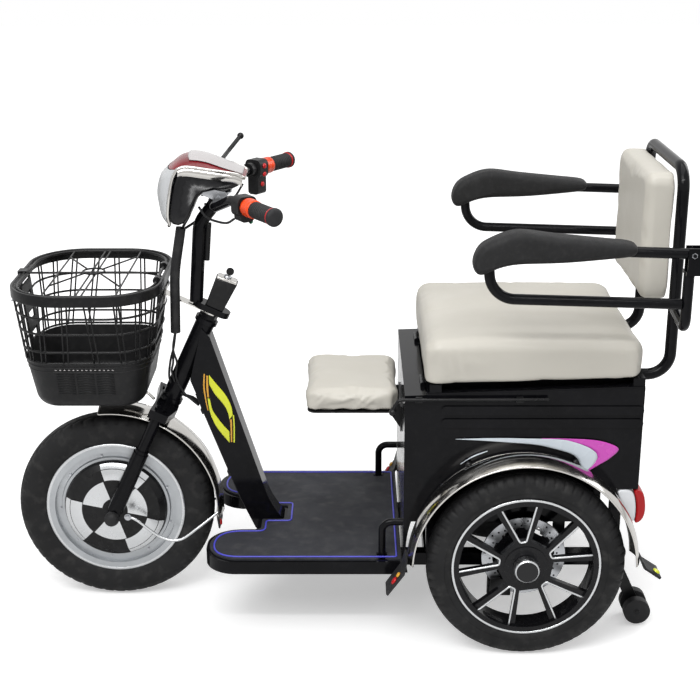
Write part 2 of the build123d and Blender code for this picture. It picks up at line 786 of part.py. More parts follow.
# ---- wire lid in the basket's mouth: its rear wire is the hinge, a hasp hooks over the front --------
lid_length = BASKET_LENGTH - 2 * LID_INSET
lid_width = BASKET_W - 2 * LID_INSET
lid_corner = BASKET_CORNER - LID_INSET
LID_CROSS = (-78.0, -6.0, 6.0, 78.0)
HASP_W = 26.0
HASP_T = 3.0
HASP_DROP = 74.0
hasp_x = BASKET_X + BASKET_LENGTH / 2 + BAND_T / 2 + SEAT_GAP
hasp_z = BASKET_RIM_Z + BAND_H / 2 + SEAT_GAP
with BuildPart() as basket_lid:
    with BuildLine(Plane(origin=(BASKET_X, 0, LID_Z))) as lid_loop:
        FilletPolyline(
            (lid_length / 2, -lid_width / 2),
            (lid_length / 2, lid_width / 2),
            (-lid_length / 2, lid_width / 2),
            (-lid_length / 2, -lid_width / 2),
            radius=lid_corner,
            close=True,
        )
    with BuildSketch(Plane(origin=lid_loop.line @ 0, z_dir=lid_loop.line % 0)):
        Circle(LID_WIRE_R)
    sweep(path=lid_loop.line)
    for x in LID_CROSS:
        past_corner = max(0.0, abs(x) - lid_length / 2 + lid_corner)
        reach_y = lid_width / 2 - lid_corner + sqrt(lid_corner**2 - past_corner**2)
        add(
            straight_rod(
                (BASKET_X + x, -reach_y, LID_Z), (BASKET_X + x, reach_y, LID_Z), WIRE_R
            )
        )
    add(
        straight_rod(
            (BASKET_X - lid_length / 2, 0, LID_Z),
            (BASKET_X + lid_length / 2, 0, LID_Z),
            RING_WIRE_R,
        )
    )
    with BuildSketch(side_plane(HASP_W / 2)):
        with BuildLine():
            Polyline(
                (BASKET_X + lid_length / 2 - 2, LID_Z),
                (BASKET_X + lid_length / 2 - 2, hasp_z + HASP_T),
                (hasp_x + HASP_T, hasp_z + HASP_T),
                (hasp_x + HASP_T, hasp_z - HASP_DROP),
                (hasp_x, hasp_z - HASP_DROP),
                (hasp_x, hasp_z),
                (BASKET_X + lid_length / 2 + 2, hasp_z),
                (BASKET_X + lid_length / 2 + 2, LID_Z),
                close=True,
            )
        make_face()
    extrude(amount=HASP_W)
finish(basket_lid, "basket_lid")

# Plated flat bar from the headset to a tab on the basket's back, and the wire stay under the tub.


def basket_back(z, gap):
    """A point of the side view, a gap behind the basket's rear wires."""
    return basket_side(z, -1, -RING_WIRE_R - gap)


TAB_T = 3.5
TAB_H = 40.0
tab_low = BASKET_RIM_Z - 60.0
tab_high = tab_low + TAB_H
bar_end = basket_back(tab_low + TAB_H / 2, SEAT_GAP + TAB_T)[0]
reach = (bar_end + 1 - steer_point(0, 0, BAR_PLATE_Z)[0]) / rake_cos
with BuildPart() as basket_bracket:
    with BuildSketch(steer_plane(BAR_PLATE_Z)):
        Circle(20.0)
        with Locations((reach / 2, 0)):
            Rectangle(reach, 28.0)
        Circle(STEERER_R + SHAFT_GAP, mode=Mode.SUBTRACT)
    extrude(amount=BAR_PLATE_T)
    with BuildSketch(side_plane(14.0)):
        with BuildLine():
            Polyline(
                basket_back(tab_low, SEAT_GAP),
                basket_back(tab_high, SEAT_GAP),
                basket_back(tab_high, SEAT_GAP + TAB_T),
                basket_back(tab_low, SEAT_GAP + TAB_T),
                close=True,
            )
        make_face()
    extrude(amount=28.0)
    stay_top = (TUB_X - 60, 0, BASKET_FLOOR_Z - 4 - SEAT_GAP)
    stay_foot = steer_point(34.0, 0, CROWN_Z + 10)
    stay_bend = (stay_top[0] - 26, 0, stay_top[2] - 2)
    stay_knee = (stay_foot[0] + 14, 0, stay_foot[2] + 16)
    add(
        bent_tube(
            [stay_top, stay_bend, stay_knee, stay_foot],
            [20.0, 12.0],
            3.5,
        )
    )
finish(basket_bracket, "basket_bracket")

# ---- front fender: a crowned blade over the rear half of the wheel ------------------------------
FRONT_FENDER_R = FRONT_TYRE_R + FENDER_GAP
FRONT_FENDER_W = 84.0


def fender_blade(centre, radius, width, crown, start, sweep_angle):
    """Crowned fender blade: a thin arched section turned about the axle."""
    half = width / 2
    with BuildPart() as blade:
        section = axle_plane(*centre)
        with BuildSketch(section):
            with BuildLine():
                ThreePointArc((-half, radius), (0, radius + crown), (half, radius))
                Line((half, radius), (half - 0.6, radius - 2.0))
                ThreePointArc((half - 0.6, radius - 2.0), (0, radius + crown - 2.0), (0.6 - half, radius - 2.0))
                Line((0.6 - half, radius - 2.0), (-half, radius))
            make_face()
        revolve(axis=Axis(centre, (0, 1, 0)), revolution_arc=sweep_angle)
    return blade.part.rotate(Axis(centre, (0, 1, 0)), start)


front_centre = (FRONT_AXLE_X, 0, FRONT_TYRE_R)
FENDER_FRONT_ANGLE = 6.0  # ahead of straight up
FENDER_SWEEP = 100.0
with BuildPart() as front_fender:
    add(
        fender_blade(
            front_centre, FRONT_FENDER_R, FRONT_FENDER_W, 9.0, FENDER_FRONT_ANGLE - FENDER_SWEEP, FENDER_SWEEP
        )
    )
    fender_top = FRONT_FENDER_R + 7
    with BuildSketch(steer_plane(fender_top)):
        Circle(9.0)
    extrude(amount=CROWN_Z - SEAT_GAP - fender_top)
finish(front_fender, "front_fender")

FLAP_T = 4.0
SLEEVE_R = 11.0
with BuildPart() as front_mudflap:
    flap_x = FRONT_AXLE_X - FRONT_FENDER_R - SEAT_GAP
    with BuildSketch(side_plane(34.0)):
        with BuildLine():
            Polyline(
                (flap_x, FRONT_TYRE_R + 14),
                (flap_x + FLAP_T, FRONT_TYRE_R + 14),
                (flap_x + FLAP_T + 2, FRONT_TYRE_R - 20),
                (flap_x + FLAP_T - 2, FRONT_TYRE_R - 52),
                (flap_x - 2, FRONT_TYRE_R - 52),
                (flap_x + 2, FRONT_TYRE_R - 20),
                close=True,
            )
        make_face()
    extrude(amount=68.0)
finish(front_mudflap, "front_mudflap")

# ---- cable sleeve down the back of the basket ----------------------------------------------------
with BuildPart() as cable_sleeve:
    sleeve_x = bar_end - 18
    sleeve_y = 14.0 + SLEEVE_R + SEAT_GAP
    add(
        bent_tube(
            [(sleeve_x - 24, sleeve_y, 900), (sleeve_x - 6, sleeve_y, 800), (sleeve_x - 2, sleeve_y, 660)],
            [400.0],
            SLEEVE_R,
        )
    )
finish(cable_sleeve, "cable_sleeve")

# =============================================================================================
# Frame
# =============================================================================================

COLUMN_FOOT = (REAR_AXLE_X + 596, FLOOR_Z - FLOOR_T - 5)
COLUMN_KNEE = (REAR_AXLE_X + 634, 250.0)
COLUMN_SHOULDER = (REAR_AXLE_X + 742, 545.0)
with BuildPart() as front_column:
    # head tube with its two cups
    with BuildSketch(steer_plane(HEAD_Z)):
        Circle(HEAD_R)
    extrude(amount=HEAD_LENGTH)
    for cup_z in (HEAD_Z, HEAD_Z + HEAD_LENGTH - 10):
        with BuildSketch(steer_plane(cup_z)):
            Circle(HEAD_R + 4)
        extrude(amount=10.0)
    # tapering leg, flared where it meets the floor
    with BuildSketch(side_plane(COLUMN_W / 2)):
        with BuildLine():
            Polyline(
                (REAR_AXLE_X + 712, 668),
                (REAR_AXLE_X + 694, 648),
                (REAR_AXLE_X + 576, 269),
            )
            ThreePointArc(
                (REAR_AXLE_X + 576, 269), (REAR_AXLE_X + 562, 236), (REAR_AXLE_X + 536, FLOOR_Z - 2)
            )
            Polyline(
                (REAR_AXLE_X + 536, FLOOR_Z - 2),
                (REAR_AXLE_X + 536, FLOOR_Z - FLOOR_T - 5),
                COLUMN_FOOT,
                COLUMN_KNEE,
                COLUMN_SHOULDER,
                (REAR_AXLE_X + 712, 668),
            )
        make_face()
    extrude(amount=COLUMN_W)
    with BuildSketch(steer_plane(HEAD_Z - 1)):
        Circle(STEERER_R + SHAFT_GAP)
    extrude(amount=HEAD_LENGTH + 2, mode=Mode.SUBTRACT)
finish(front_column, "front_column")

# ---- floor pan with two forward lobes, and its rubber mat ----------------------------------------
FLOOR_REAR_X = BOX_FRONT_X + SHEET
COLUMN_SLOT_X = REAR_AXLE_X + 535.0 - SEAT_GAP
COLUMN_SLOT_W = COLUMN_W + 8.0
LOBE_R = 70.0


def floor_outline(inset):
    """Floor plan: rounded lobes either side of the wheel notch, and a slot for the column."""
    half = FLOOR_W / 2 - inset
    notch = FLOOR_NOTCH_W / 2 + inset
    slot = COLUMN_SLOT_W / 2 + inset
    front = FLOOR_FRONT_X - inset
    with BuildSketch() as outline:
        with BuildLine():
            FilletPolyline(
                (FLOOR_REAR_X + inset / 2, -half),
                (front, -half),
                (front, -notch),
                (NOTCH_X - inset, -notch),
                (NOTCH_X - inset, -slot),
                (COLUMN_SLOT_X - inset, -slot),
                (COLUMN_SLOT_X - inset, slot),
                (NOTCH_X - inset, slot),
                (NOTCH_X - inset, notch),
                (front, notch),
                (front, half),
                (FLOOR_REAR_X + inset / 2, half),
                radius=[LOBE_R, LOBE_R, 12, 4, 8, 8, 4, 12, LOBE_R, LOBE_R],
            )
            Line((FLOOR_REAR_X + inset / 2, half), (FLOOR_REAR_X + inset / 2, -half))
        make_face()
    return outline.sketch


with BuildPart() as floor_pan:
    add(floor_outline(0).moved(Location((0, 0, FLOOR_Z - FLOOR_T))))
    extrude(amount=FLOOR_T)
    add(floor_outline(SHEET).moved(Location((0, 0, FLOOR_Z - FLOOR_T))))
    extrude(amount=FLOOR_T - SHEET, mode=Mode.SUBTRACT)
finish(floor_pan, "floor_pan")

HOOP_Y = 217.0
HOOP_R = 8.0
hoop_foot_x = REAR_AXLE_X + 309.0
with BuildPart() as floor_mat:
    add(floor_outline(7.0).moved(Location((0, 0, FLOOR_Z))))
    extrude(amount=MAT_T)
    # notches round the feet of the grab hoops
    for side in (-1, 1):
        with Locations((hoop_foot_x, side * (HOOP_Y + 14), FLOOR_Z + MAT_T / 2)):
            Box(2 * HOOP_R + 8, 2 * HOOP_R + 36, 2 * MAT_T, mode=Mode.SUBTRACT)
finish(floor_mat, "floor_mat")

# ---- main frame: two rails, cross members, axle saddles and box posts ----------------------------
RAIL_TOP = FLOOR_Z - FLOOR_T - 5.0
RAIL_Z = RAIL_TOP - RAIL / 2
RAIL_FRONT_X = REAR_AXLE_X + 600.0
RAIL_REAR_X = REAR_AXLE_X - 232.0
AXLE_TUBE_R = 20.0
POST = 24.0
POSTS = (
    (RAIL_REAR_X + POST / 2, BOX_STEP_Z - SEAT_GAP),
    (REAR_AXLE_X - 95.0, BOX_FLOOR_Z - SEAT_GAP),
    (REAR_AXLE_X + 195.0, BOX_FLOOR_Z - SEAT_GAP),
)
with BuildPart() as main_frame:
    for side in (-1, 1):
        with Locations(((RAIL_FRONT_X + RAIL_REAR_X) / 2, side * RAIL_Y, RAIL_Z)):
            Box(RAIL_FRONT_X - RAIL_REAR_X, RAIL, RAIL)
        for post_x, post_top in POSTS:
            with Locations((post_x, side * RAIL_Y, RAIL_TOP)):
                Box(POST, POST, post_top - RAIL_TOP, align=(Align.CENTER, Align.CENTER, Align.MIN))
        with Locations((REAR_AXLE_X, side * RAIL_Y, RAIL_TOP)):
            Box(56, RAIL, REAR_TYRE_R + 6 - RAIL_TOP, align=(Align.CENTER, Align.CENTER, Align.MIN))
    for cross_x in (RAIL_FRONT_X - RAIL / 2, REAR_AXLE_X + 420.0, REAR_AXLE_X + 195.0, RAIL_REAR_X + RAIL / 2):
        with Locations((cross_x, 0, RAIL_Z)):
            Box(RAIL, 2 * RAIL_Y, RAIL)
    for pad_x in (REAR_AXLE_X + 420.0, RAIL_FRONT_X - RAIL / 2):
        for side in (-1, 1):
            with Locations((pad_x, side * RAIL_Y, RAIL_TOP)):
                Box(RAIL, RAIL, FLOOR_Z - SHEET - RAIL_TOP, align=(Align.CENTER, Align.CENTER, Align.MIN))
    with BuildSketch(side_plane(RAIL_Y + RAIL)):
        with Locations((REAR_AXLE_X, REAR_TYRE_R)):
            Circle(AXLE_TUBE_R)
    extrude(amount=2 * (RAIL_Y + RAIL), mode=Mode.SUBTRACT)
finish(main_frame, "main_frame")

# Dead rear axle: a tube across the frame with a turned stub at each end.
STUB_ROOT_Y = REAR_TRACK / 2 - 42.0
with BuildPart() as rear_axle:
    with BuildSketch(axle_plane(REAR_AXLE_X, 0, REAR_TYRE_R)):
        Rectangle(2 * STUB_ROOT_Y, AXLE_TUBE_R, align=(Align.CENTER, Align.MIN))
        Rectangle(REAR_TRACK + 40.0, STUB_R, align=(Align.CENTER, Align.MIN))
    revolve(axis=Axis((REAR_AXLE_X, 0, REAR_TYRE_R), (0, 1, 0)))
finish(rear_axle, "rear_axle")

CALIPER_ANGLE = -125.0
with BuildPart() as brake_calipers:
    for side in (-1, 1):
        disc_y = side * (REAR_TRACK / 2 - 32.0)
        caliper_x = REAR_AXLE_X - (DISC_R - 6) * cos(radians(CALIPER_ANGLE))
        caliper_z = REAR_TYRE_R + (DISC_R - 6) * sin(radians(CALIPER_ANGLE))
        with Locations((caliper_x, disc_y, caliper_z)):
            Box(44, 32, 40)
        with BuildSketch(side_plane(disc_y + 2 + RUN_GAP)):
            with Locations((REAR_AXLE_X, REAR_TYRE_R)):
                Circle(DISC_R + RUN_GAP)
        extrude(amount=4 + 2 * RUN_GAP, mode=Mode.SUBTRACT)
        with Locations((caliper_x, disc_y - side * 15, caliper_z + 10)):
            Box(52, 14, 84)
        with Locations((REAR_AXLE_X, disc_y - side * 20, REAR_TYRE_R - 35)):
            Box(110, 4, 90)
        with BuildSketch(side_plane(disc_y + 60)):
            with Locations((REAR_AXLE_X, REAR_TYRE_R)):
                Circle(AXLE_TUBE_R + SEAT_GAP)
        extrude(amount=120.0, mode=Mode.SUBTRACT)
finish(brake_calipers, "brake_calipers")

# ---- storage box ---------------------------------------------------------------------------------
box_slope = sin(radians(BOX_SLOPE)) / cos(radians(BOX_SLOPE))


def box_top(x):
    """Height of the box's top edge, which rises gently to the rear."""
    return BOX_TOP_Z + (BOX_FRONT_X - x) * box_slope


APRON_Z = FLOOR_Z - FLOOR_T - 5.0
ARCH_R = REAR_FENDER_R + 12.0


def box_outline(inset):
    """Side outline of the box, with its floor raised behind the axle."""
    return [
        (BOX_FRONT_X - inset, BOX_FLOOR_Z + inset),
        (BOX_FRONT_X - inset, box_top(BOX_FRONT_X) - inset),
        (BOX_REAR_X + inset, box_top(BOX_REAR_X) - inset),
        (BOX_REAR_X + inset, BOX_STEP_Z + inset),
        (BOX_REAR_X + 95 + inset / 2, BOX_STEP_Z + inset),
        (BOX_REAR_X + 125 + inset / 2, BOX_FLOOR_Z + inset),
    ]


LID_HINGE = (BOX_FRONT_X - STRIP_LENGTH + 5, box_top(BOX_FRONT_X - STRIP_LENGTH + 5) + 5.0 + SEAT_GAP)
LID_HINGE_Y = (-150.0, 150.0)
KNUCKLE_R = 5.0
KNUCKLE_W = 18.0
KNUCKLE_PIN_R = 2.5
KNUCKLE_PLAY = 0.5
with BuildPart() as storage_box:
    with BuildSketch(side_plane(BOX_W / 2)):
        with BuildLine():
            Polyline(*box_outline(0), close=True)
        make_face()
    extrude(amount=BOX_W)
    # apron from the box down to the floor, following the wheel arch
    with BuildSketch(side_plane(BOX_W / 2)):
        with Locations((BOX_FRONT_X - 24, (APRON_Z + BOX_FLOOR_Z) / 2 + 1)):
            Rectangle(48, BOX_FLOOR_Z - APRON_Z + 2)
    extrude(amount=BOX_W)
    with BuildSketch(side_plane(BOX_W / 2 - SHEET)):
        with Locations((BOX_FRONT_X - SHEET - 50, (APRON_Z + BOX_FLOOR_Z) / 2)):
            Rectangle(100, BOX_FLOOR_Z - APRON_Z)
    extrude(amount=BOX_W - 2 * SHEET, mode=Mode.SUBTRACT)
    for side in (-1, 1):
        with BuildSketch(side_plane(side * (BOX_W / 2 + 6))):
            with Locations((REAR_AXLE_X, REAR_TYRE_R)):
                Circle(ARCH_R)
            with Locations((REAR_AXLE_X, BOX_FLOOR_Z + 300)):
                Rectangle(600, 600, mode=Mode.SUBTRACT)
        extrude(amount=side * 12.0, mode=Mode.SUBTRACT)
    # pressed beads along both sides
    for bead_z in (551.0, 522.0):
        for side in (-1, 1):
            with BuildSketch(side_plane(side * BOX_W / 2)):
                with Locations(((BOX_FRONT_X - 78 + BOX_REAR_X) / 2, bead_z)):
                    SlotOverall(BOX_FRONT_X - 78 - BOX_REAR_X, 20.0)
            extrude(amount=-side * 4.0)
    with BuildSketch(side_plane(BOX_W / 2 - SHEET)):
        with BuildLine():
            Polyline(*box_outline(SHEET), close=True)
        make_face()
    extrude(amount=BOX_W - 2 * SHEET, mode=Mode.SUBTRACT)
    # mouth under the lid: a ledge is left all round, and a fixed strip ahead of the lid
    mouth_plane = Plane(
        origin=(BOX_FRONT_X, 0, box_top(BOX_FRONT_X)),
        x_dir=(cos(radians(BOX_SLOPE)), 0, -sin(radians(BOX_SLOPE))),
        z_dir=(sin(radians(BOX_SLOPE)), 0, cos(radians(BOX_SLOPE))),
    )
    mouth_length = BOX_FRONT_X - STRIP_LENGTH - BOX_REAR_X - BOX_LEDGE
    with BuildSketch(mouth_plane.offset(-2 * SHEET)):
        with Locations((-STRIP_LENGTH - mouth_length / 2, 0)):
            Rectangle(mouth_length, BOX_W - 2 * BOX_LEDGE)
    extrude(amount=3 * SHEET, mode=Mode.SUBTRACT)
    # knuckles and pin of the lid, on the strip ahead of it
    for hinge_y in LID_HINGE_Y:
        for knuckle_y in (hinge_y - KNUCKLE_W, hinge_y + KNUCKLE_W):
            with BuildSketch(side_plane(knuckle_y + KNUCKLE_W / 2 - KNUCKLE_PLAY)):
                with Locations(LID_HINGE):
                    Circle(KNUCKLE_R)
                with Locations((LID_HINGE[0], LID_HINGE[1] - KNUCKLE_R + 1)):
                    Rectangle(2 * KNUCKLE_R, 2 * KNUCKLE_R - 2)
            extrude(amount=KNUCKLE_W - 2 * KNUCKLE_PLAY)
        with BuildSketch(side_plane(hinge_y + KNUCKLE_W)):
            with Locations(LID_HINGE):
                Circle(KNUCKLE_PIN_R)
        extrude(amount=2 * KNUCKLE_W)
finish(storage_box, "storage_box")

BATTERY_L = 300.0
BATTERY_W = 200.0
BATTERY_H = 130.0
with BuildPart() as battery_block:
    with Locations((REAR_AXLE_X + 60, 0, BOX_FLOOR_Z + SHEET + SEAT_GAP)):
        Box(BATTERY_L, BATTERY_W, BATTERY_H, align=(Align.CENTER, Align.CENTER, Align.MIN))
finish(battery_block, "battery_block")

# ---- grab hoops from the floor to the box front --------------------------------------------------
with BuildPart() as floor_hoops:
    for side in (-1, 1):
        foot = (hoop_foot_x, side * HOOP_Y, FLOOR_Z + SEAT_GAP)
        knee = (hoop_foot_x, side * HOOP_Y, 284.0)
        end = (BOX_FRONT_X + SEAT_GAP, side * HOOP_Y, 284.0)
        add(bent_tube([foot, knee, end], [22.0], HOOP_R))
finish(floor_hoops, "floor_hoops")

# ---- rear fenders, flaps, lamps, anti-tip arms ---------------------------------------------------
FENDER_Y = REAR_TRACK / 2 - 1.0
REAR_FENDER_START = 4.0
REAR_FENDER_SWEEP = 176.0
BLADE_R = REAR_FENDER_R - 4.0
BLADE_X = REAR_AXLE_X + 5.0
BLADE_CROWN = 10.0
with BuildPart() as rear_fenders:
    for side in (-1, 1):
        centre = (BLADE_X, side * FENDER_Y, REAR_TYRE_R)
        add(
            fender_blade(
                centre, BLADE_R, REAR_FENDER_W, BLADE_CROWN, -90.0 + REAR_FENDER_START / 2, REAR_FENDER_SWEEP
            )
        )
        # two short spacers hold the blade off the box side
        for spacer_x in (-110.0, 120.0):
            spacer_z = REAR_TYRE_R + sqrt((BLADE_R + 4) ** 2 - spacer_x**2)
            with BuildSketch(side_plane(side * (BOX_W / 2 + SEAT_GAP))):
                with Locations((centre[0] + spacer_x, spacer_z)):
                    Circle(7.0)
            extrude(amount=-side * (FENDER_Y - REAR_FENDER_W / 2 + 14 - BOX_W / 2))
finish(rear_fenders, "rear_fenders")

# Flaps at both ends of each blade flare away from the tyre. (lean, height of the top, drop)
FLAP_SHAPES = ((1, 234.0, 84.0), (-1, 232.0, 42.0))
FLAP_IN_Y = FLOOR_W / 2 + RUN_GAP
FLAP_OUT_Y = FENDER_Y + 32.0
with BuildPart() as rear_mudflaps:
    for side in (-1, 1):
        for lean, top_z, drop in FLAP_SHAPES:
            crest = sqrt((BLADE_R + BLADE_CROWN) ** 2 - (top_z - REAR_TYRE_R) ** 2)
            foot_x = BLADE_X + lean * (crest + SEAT_GAP)
            with BuildSketch(side_plane(side * FLAP_OUT_Y)):
                with BuildLine():
                    Polyline(
                        (foot_x, top_z),
                        (foot_x + lean * 6, top_z - drop * 0.4),
                        (foot_x + lean * 42, top_z - drop),
                        (foot_x + lean * 46, top_z - drop + 4),
                        (foot_x + lean * 12, top_z - drop * 0.36),
                        (foot_x + lean * FLAP_T, top_z),
                        close=True,
                    )
                make_face()
            extrude(amount=side * (FLAP_OUT_Y - FLAP_IN_Y))
finish(rear_mudflaps, "rear_mudflaps")

LAMP_Y = 209.0
with BuildPart() as tail_lamps:
    for side in (-1, 1):
        with BuildSketch(side_plane(side * LAMP_Y + 22.0)):
            with BuildLine():
                Polyline(
                    (BOX_REAR_X + 50, BOX_STEP_Z - SEAT_GAP),
                    (BOX_REAR_X - 16, BOX_STEP_Z - SEAT_GAP),
                    (BOX_REAR_X - 23, BOX_STEP_Z - 74),
                    (BOX_REAR_X - 4, BOX_STEP_Z - 84),
                    close=True,
                )
            make_face()
        extrude(amount=44.0)
finish(tail_lamps, "tail_lamps")

with BuildPart() as anti_tip_arms:
    for side in (-1, 1):
        arm_foot = (ANTI_TIP_X, ANTI_TIP_R + ANTI_TIP_LIFT)
        arm_root = (RAIL_REAR_X + 10, RAIL_Z)
        lean = degrees(atan2(arm_root[1] - arm_foot[1], arm_root[0] - arm_foot[0]))
        reach = sqrt((arm_root[0] - arm_foot[0]) ** 2 + (arm_root[1] - arm_foot[1]) ** 2)
        with BuildSketch(side_plane(side * ANTI_TIP_Y + 4.0)):
            with Locations(
                Location(
                    ((arm_root[0] + arm_foot[0]) / 2, (arm_root[1] + arm_foot[1]) / 2), lean
                )
            ):
                SlotCenterToCenter(reach, 26.0)
        extrude(amount=8.0)
        with BuildSketch(side_plane(side * (RAIL_Y + RAIL / 2 + SEAT_GAP))):
            with Locations(arm_root):
                Circle(11.0)
        extrude(amount=-side * (ANTI_TIP_Y - RAIL_Y - RAIL / 2 - SEAT_GAP))
        with BuildSketch(side_plane(side * ANTI_TIP_Y + 34.0)):
            with Locations(arm_foot):
                Circle(6.0 - SHAFT_GAP)
        extrude(amount=68.0)
finish(anti_tip_arms, "anti_tip_arms")

with BuildPart() as park_lever:
    lever_y = BOX_W / 2 + 9.0
    add(
        bent_tube(
            [
                (REAR_AXLE_X - 40, lever_y, 579.0),
                (BOX_FRONT_X + 14, lever_y, 578.0),
                (BOX_FRONT_X + 26, lever_y, 556.0),
            ],
            [16.0],
            3.5,
        )
    )
    with Locations((BOX_FRONT_X + 26, lever_y, 550.0)):
        Sphere(8.0)
    for clip_x in (REAR_AXLE_X + 20, BOX_FRONT_X - 30):
        with Locations((clip_x, BOX_W / 2 + SEAT_GAP, 577.0)):
            Box(14.0, 9.0, 12.0, align=(Align.CENTER, Align.MIN, Align.CENTER))
finish(park_lever, "park_lever")

# ---- cables down the front face of the column, held by two clips ---------------------------------
CABLE_R = 3.0
column_run = Vector(*COLUMN_SHOULDER) - Vector(*COLUMN_KNEE)
column_length = column_run.length
column_up = column_run.normalized()
column_out = Vector(column_up.Y, -column_up.X)


def column_face(distance, out):
    """A point off the column's front face in the side view, a distance up from its knee."""
    spot = Vector(*COLUMN_KNEE) + column_up * distance + column_out * out
    return (spot.X, spot.Y)


with BuildPart() as frame_cables:
    lift = CABLE_R + SEAT_GAP
    top = column_face(column_length - 40, lift)
    knee = column_face(0, lift)
    foot = (COLUMN_FOOT[0] + 1.2 * lift + 1, COLUMN_FOOT[1] + 4)
    for shift in (-9.0, 0.0, 9.0):
        add(bent_tube([(p[0], shift, p[1]) for p in (top, knee, foot)], [60.0], CABLE_R))
    for clip in (60.0, column_length - 90):
        with BuildSketch(side_plane(15.0)):
            with BuildLine():
                Polyline(
                    column_face(clip, SEAT_GAP),
                    column_face(clip + 12, SEAT_GAP),
                    column_face(clip + 12, 2 * CABLE_R + 2.5),
                    column_face(clip, 2 * CABLE_R + 2.5),
                    close=True,
                )
            make_face()
        extrude(amount=30.0)
finish(frame_cables, "frame_cables")

# =============================================================================================
# Lid, main seat, backrest and armrests
# =============================================================================================

lid_plane = mouth_plane.offset(SEAT_GAP)
LID_T = 3.0
LID_GAP = 2.0
lid_front = -STRIP_LENGTH - LID_GAP
lid_length = BOX_FRONT_X - BOX_REAR_X + lid_front
RAIL_W = 25.0
with BuildPart() as seat_base:
    with BuildSketch(lid_plane):
        with Locations((lid_front - lid_length / 2, 0)):
            Rectangle(lid_length, BOX_W)
    extrude(amount=LID_T)
    with BuildSketch(lid_plane.offset(LID_T)):
        for side in (-1, 1):
            with Locations((lid_front - lid_length / 2, side * (BACK_HALF + RAIL_W / 2 - 12))):
                Rectangle(lid_length, RAIL_W)
        for cross in (lid_front - RAIL_W / 2 - 6, lid_front - lid_length + RAIL_W / 2):
            with Locations((cross, 0)):
                Rectangle(RAIL_W, BOX_W - 2 * LID_GAP)
    extrude(amount=SEAT_FRAME_H)
    # the lid's own knuckles
    for hinge_y in LID_HINGE_Y:
        with BuildSketch(side_plane(hinge_y + KNUCKLE_W / 2 - KNUCKLE_PLAY)):
            with Locations(LID_HINGE):
                Circle(KNUCKLE_R)
            with Locations((LID_HINGE[0] - 8, LID_HINGE[1] - 2.8)):
                Rectangle(16.0, 3.0)
        extrude(amount=KNUCKLE_W - 2 * KNUCKLE_PLAY)
    with BuildSketch(side_plane(BOX_W / 2)):
        with Locations(LID_HINGE):
            Circle(KNUCKLE_PIN_R + SHAFT_GAP)
    extrude(amount=BOX_W, mode=Mode.SUBTRACT)
finish(seat_base, "seat_base")

SEAT_REAR_X = BOX_REAR_X + SEAT_GAP
seat_under = lid_plane.offset(LID_T + SEAT_FRAME_H + SEAT_GAP)
with BuildPart() as seat_cushion:
    with BuildSketch(Plane.XY.offset(BOX_TOP_Z)):
        with Locations((SEAT_REAR_X + SEAT_LENGTH / 2, 0)):
            RectangleRounded(SEAT_LENGTH, SEAT_W, 34.0)
    extrude(amount=SEAT_TOP_Z - BOX_TOP_Z)
    split(bisect_by=seat_under, keep=Keep.TOP)
    fillet(seat_cushion.faces().sort_by(Axis.Z)[-1].edges(), radius=24.0)
finish(seat_cushion, "seat_cushion")

back_foot_z = box_top(BOX_REAR_X) + LID_T + SEAT_FRAME_H - BACK_TUBE_R
with BuildPart() as backrest_frame:
    foot_x = BOX_REAR_X - SEAT_GAP
    add(
        bent_tube(
            [
                (foot_x, BACK_HALF, back_foot_z),
                (BACK_X, BACK_HALF, back_foot_z),
                (BACK_X, BACK_HALF, BACK_TOP_Z),
                (BACK_X, -BACK_HALF, BACK_TOP_Z),
                (BACK_X, -BACK_HALF, back_foot_z),
                (foot_x, -BACK_HALF, back_foot_z),
            ],
            [48.0, 45.0, 45.0, 48.0],
            BACK_TUBE_R,
        )
    )
    for side in (-1, 1):
        lug = (BACK_X + 10, side * ARM_Y, 0)
        add(
            bent_tube(
                [
                    (BACK_X, side * (BACK_HALF + 6), 757.0),
                    (lug[0], side * ARM_Y, 757.0),
                    (lug[0], side * ARM_Y, ARM_PIVOT[1] - 34),
                ],
                [26.0],
                ARM_R,
            )
        )
        # clevis: back plate and two ears that carry the armrest bolt
        with Locations((ARM_PIVOT[0] - ARM_R - 8, side * ARM_Y, ARM_PIVOT[1] - 14)):
            Box(4.0, 2 * ARM_R + 2 + 6, 56.0)
        for ear in (-1, 1):
            with Locations(
                (ARM_PIVOT[0] - 5, side * ARM_Y + ear * (ARM_R + 2.5), ARM_PIVOT[1] - 14)
            ):
                Box(32.0, 3.0, 56.0)
        with Locations((ARM_PIVOT[0] - 4, side * ARM_Y, ARM_PIVOT[1] - 38)):
            Box(34.0, 2 * ARM_R + 8, 8.0)
        with BuildSketch(side_plane(side * ARM_Y + 20.0)):
            with Locations(ARM_PIVOT):
                Circle(4.0)
        extrude(amount=40.0)
finish(backrest_frame, "backrest_frame")

with BuildPart() as backrest_cushion:
    pad_rear = BACK_X + BACK_TUBE_R + SEAT_GAP
    pad_middle = (pad_rear, 0, (BACK_PAD_Z + BACK_TOP_Z - 4) / 2)
    with BuildSketch(Plane(origin=pad_middle, x_dir=(0, 1, 0), z_dir=(1, 0, 0))):
        RectangleRounded(2 * BACK_HALF, BACK_TOP_Z - 4 - BACK_PAD_Z, 28.0)
    extrude(amount=BACK_PAD_T)
    fillet(backrest_cushion.faces().sort_by(Axis.X)[-1].edges(), radius=18.0)
finish(backrest_cushion, "backrest_cushion")

ARM_FRONT_X = REAR_AXLE_X + 100.0
ARM_LOWER_Z = 822.0


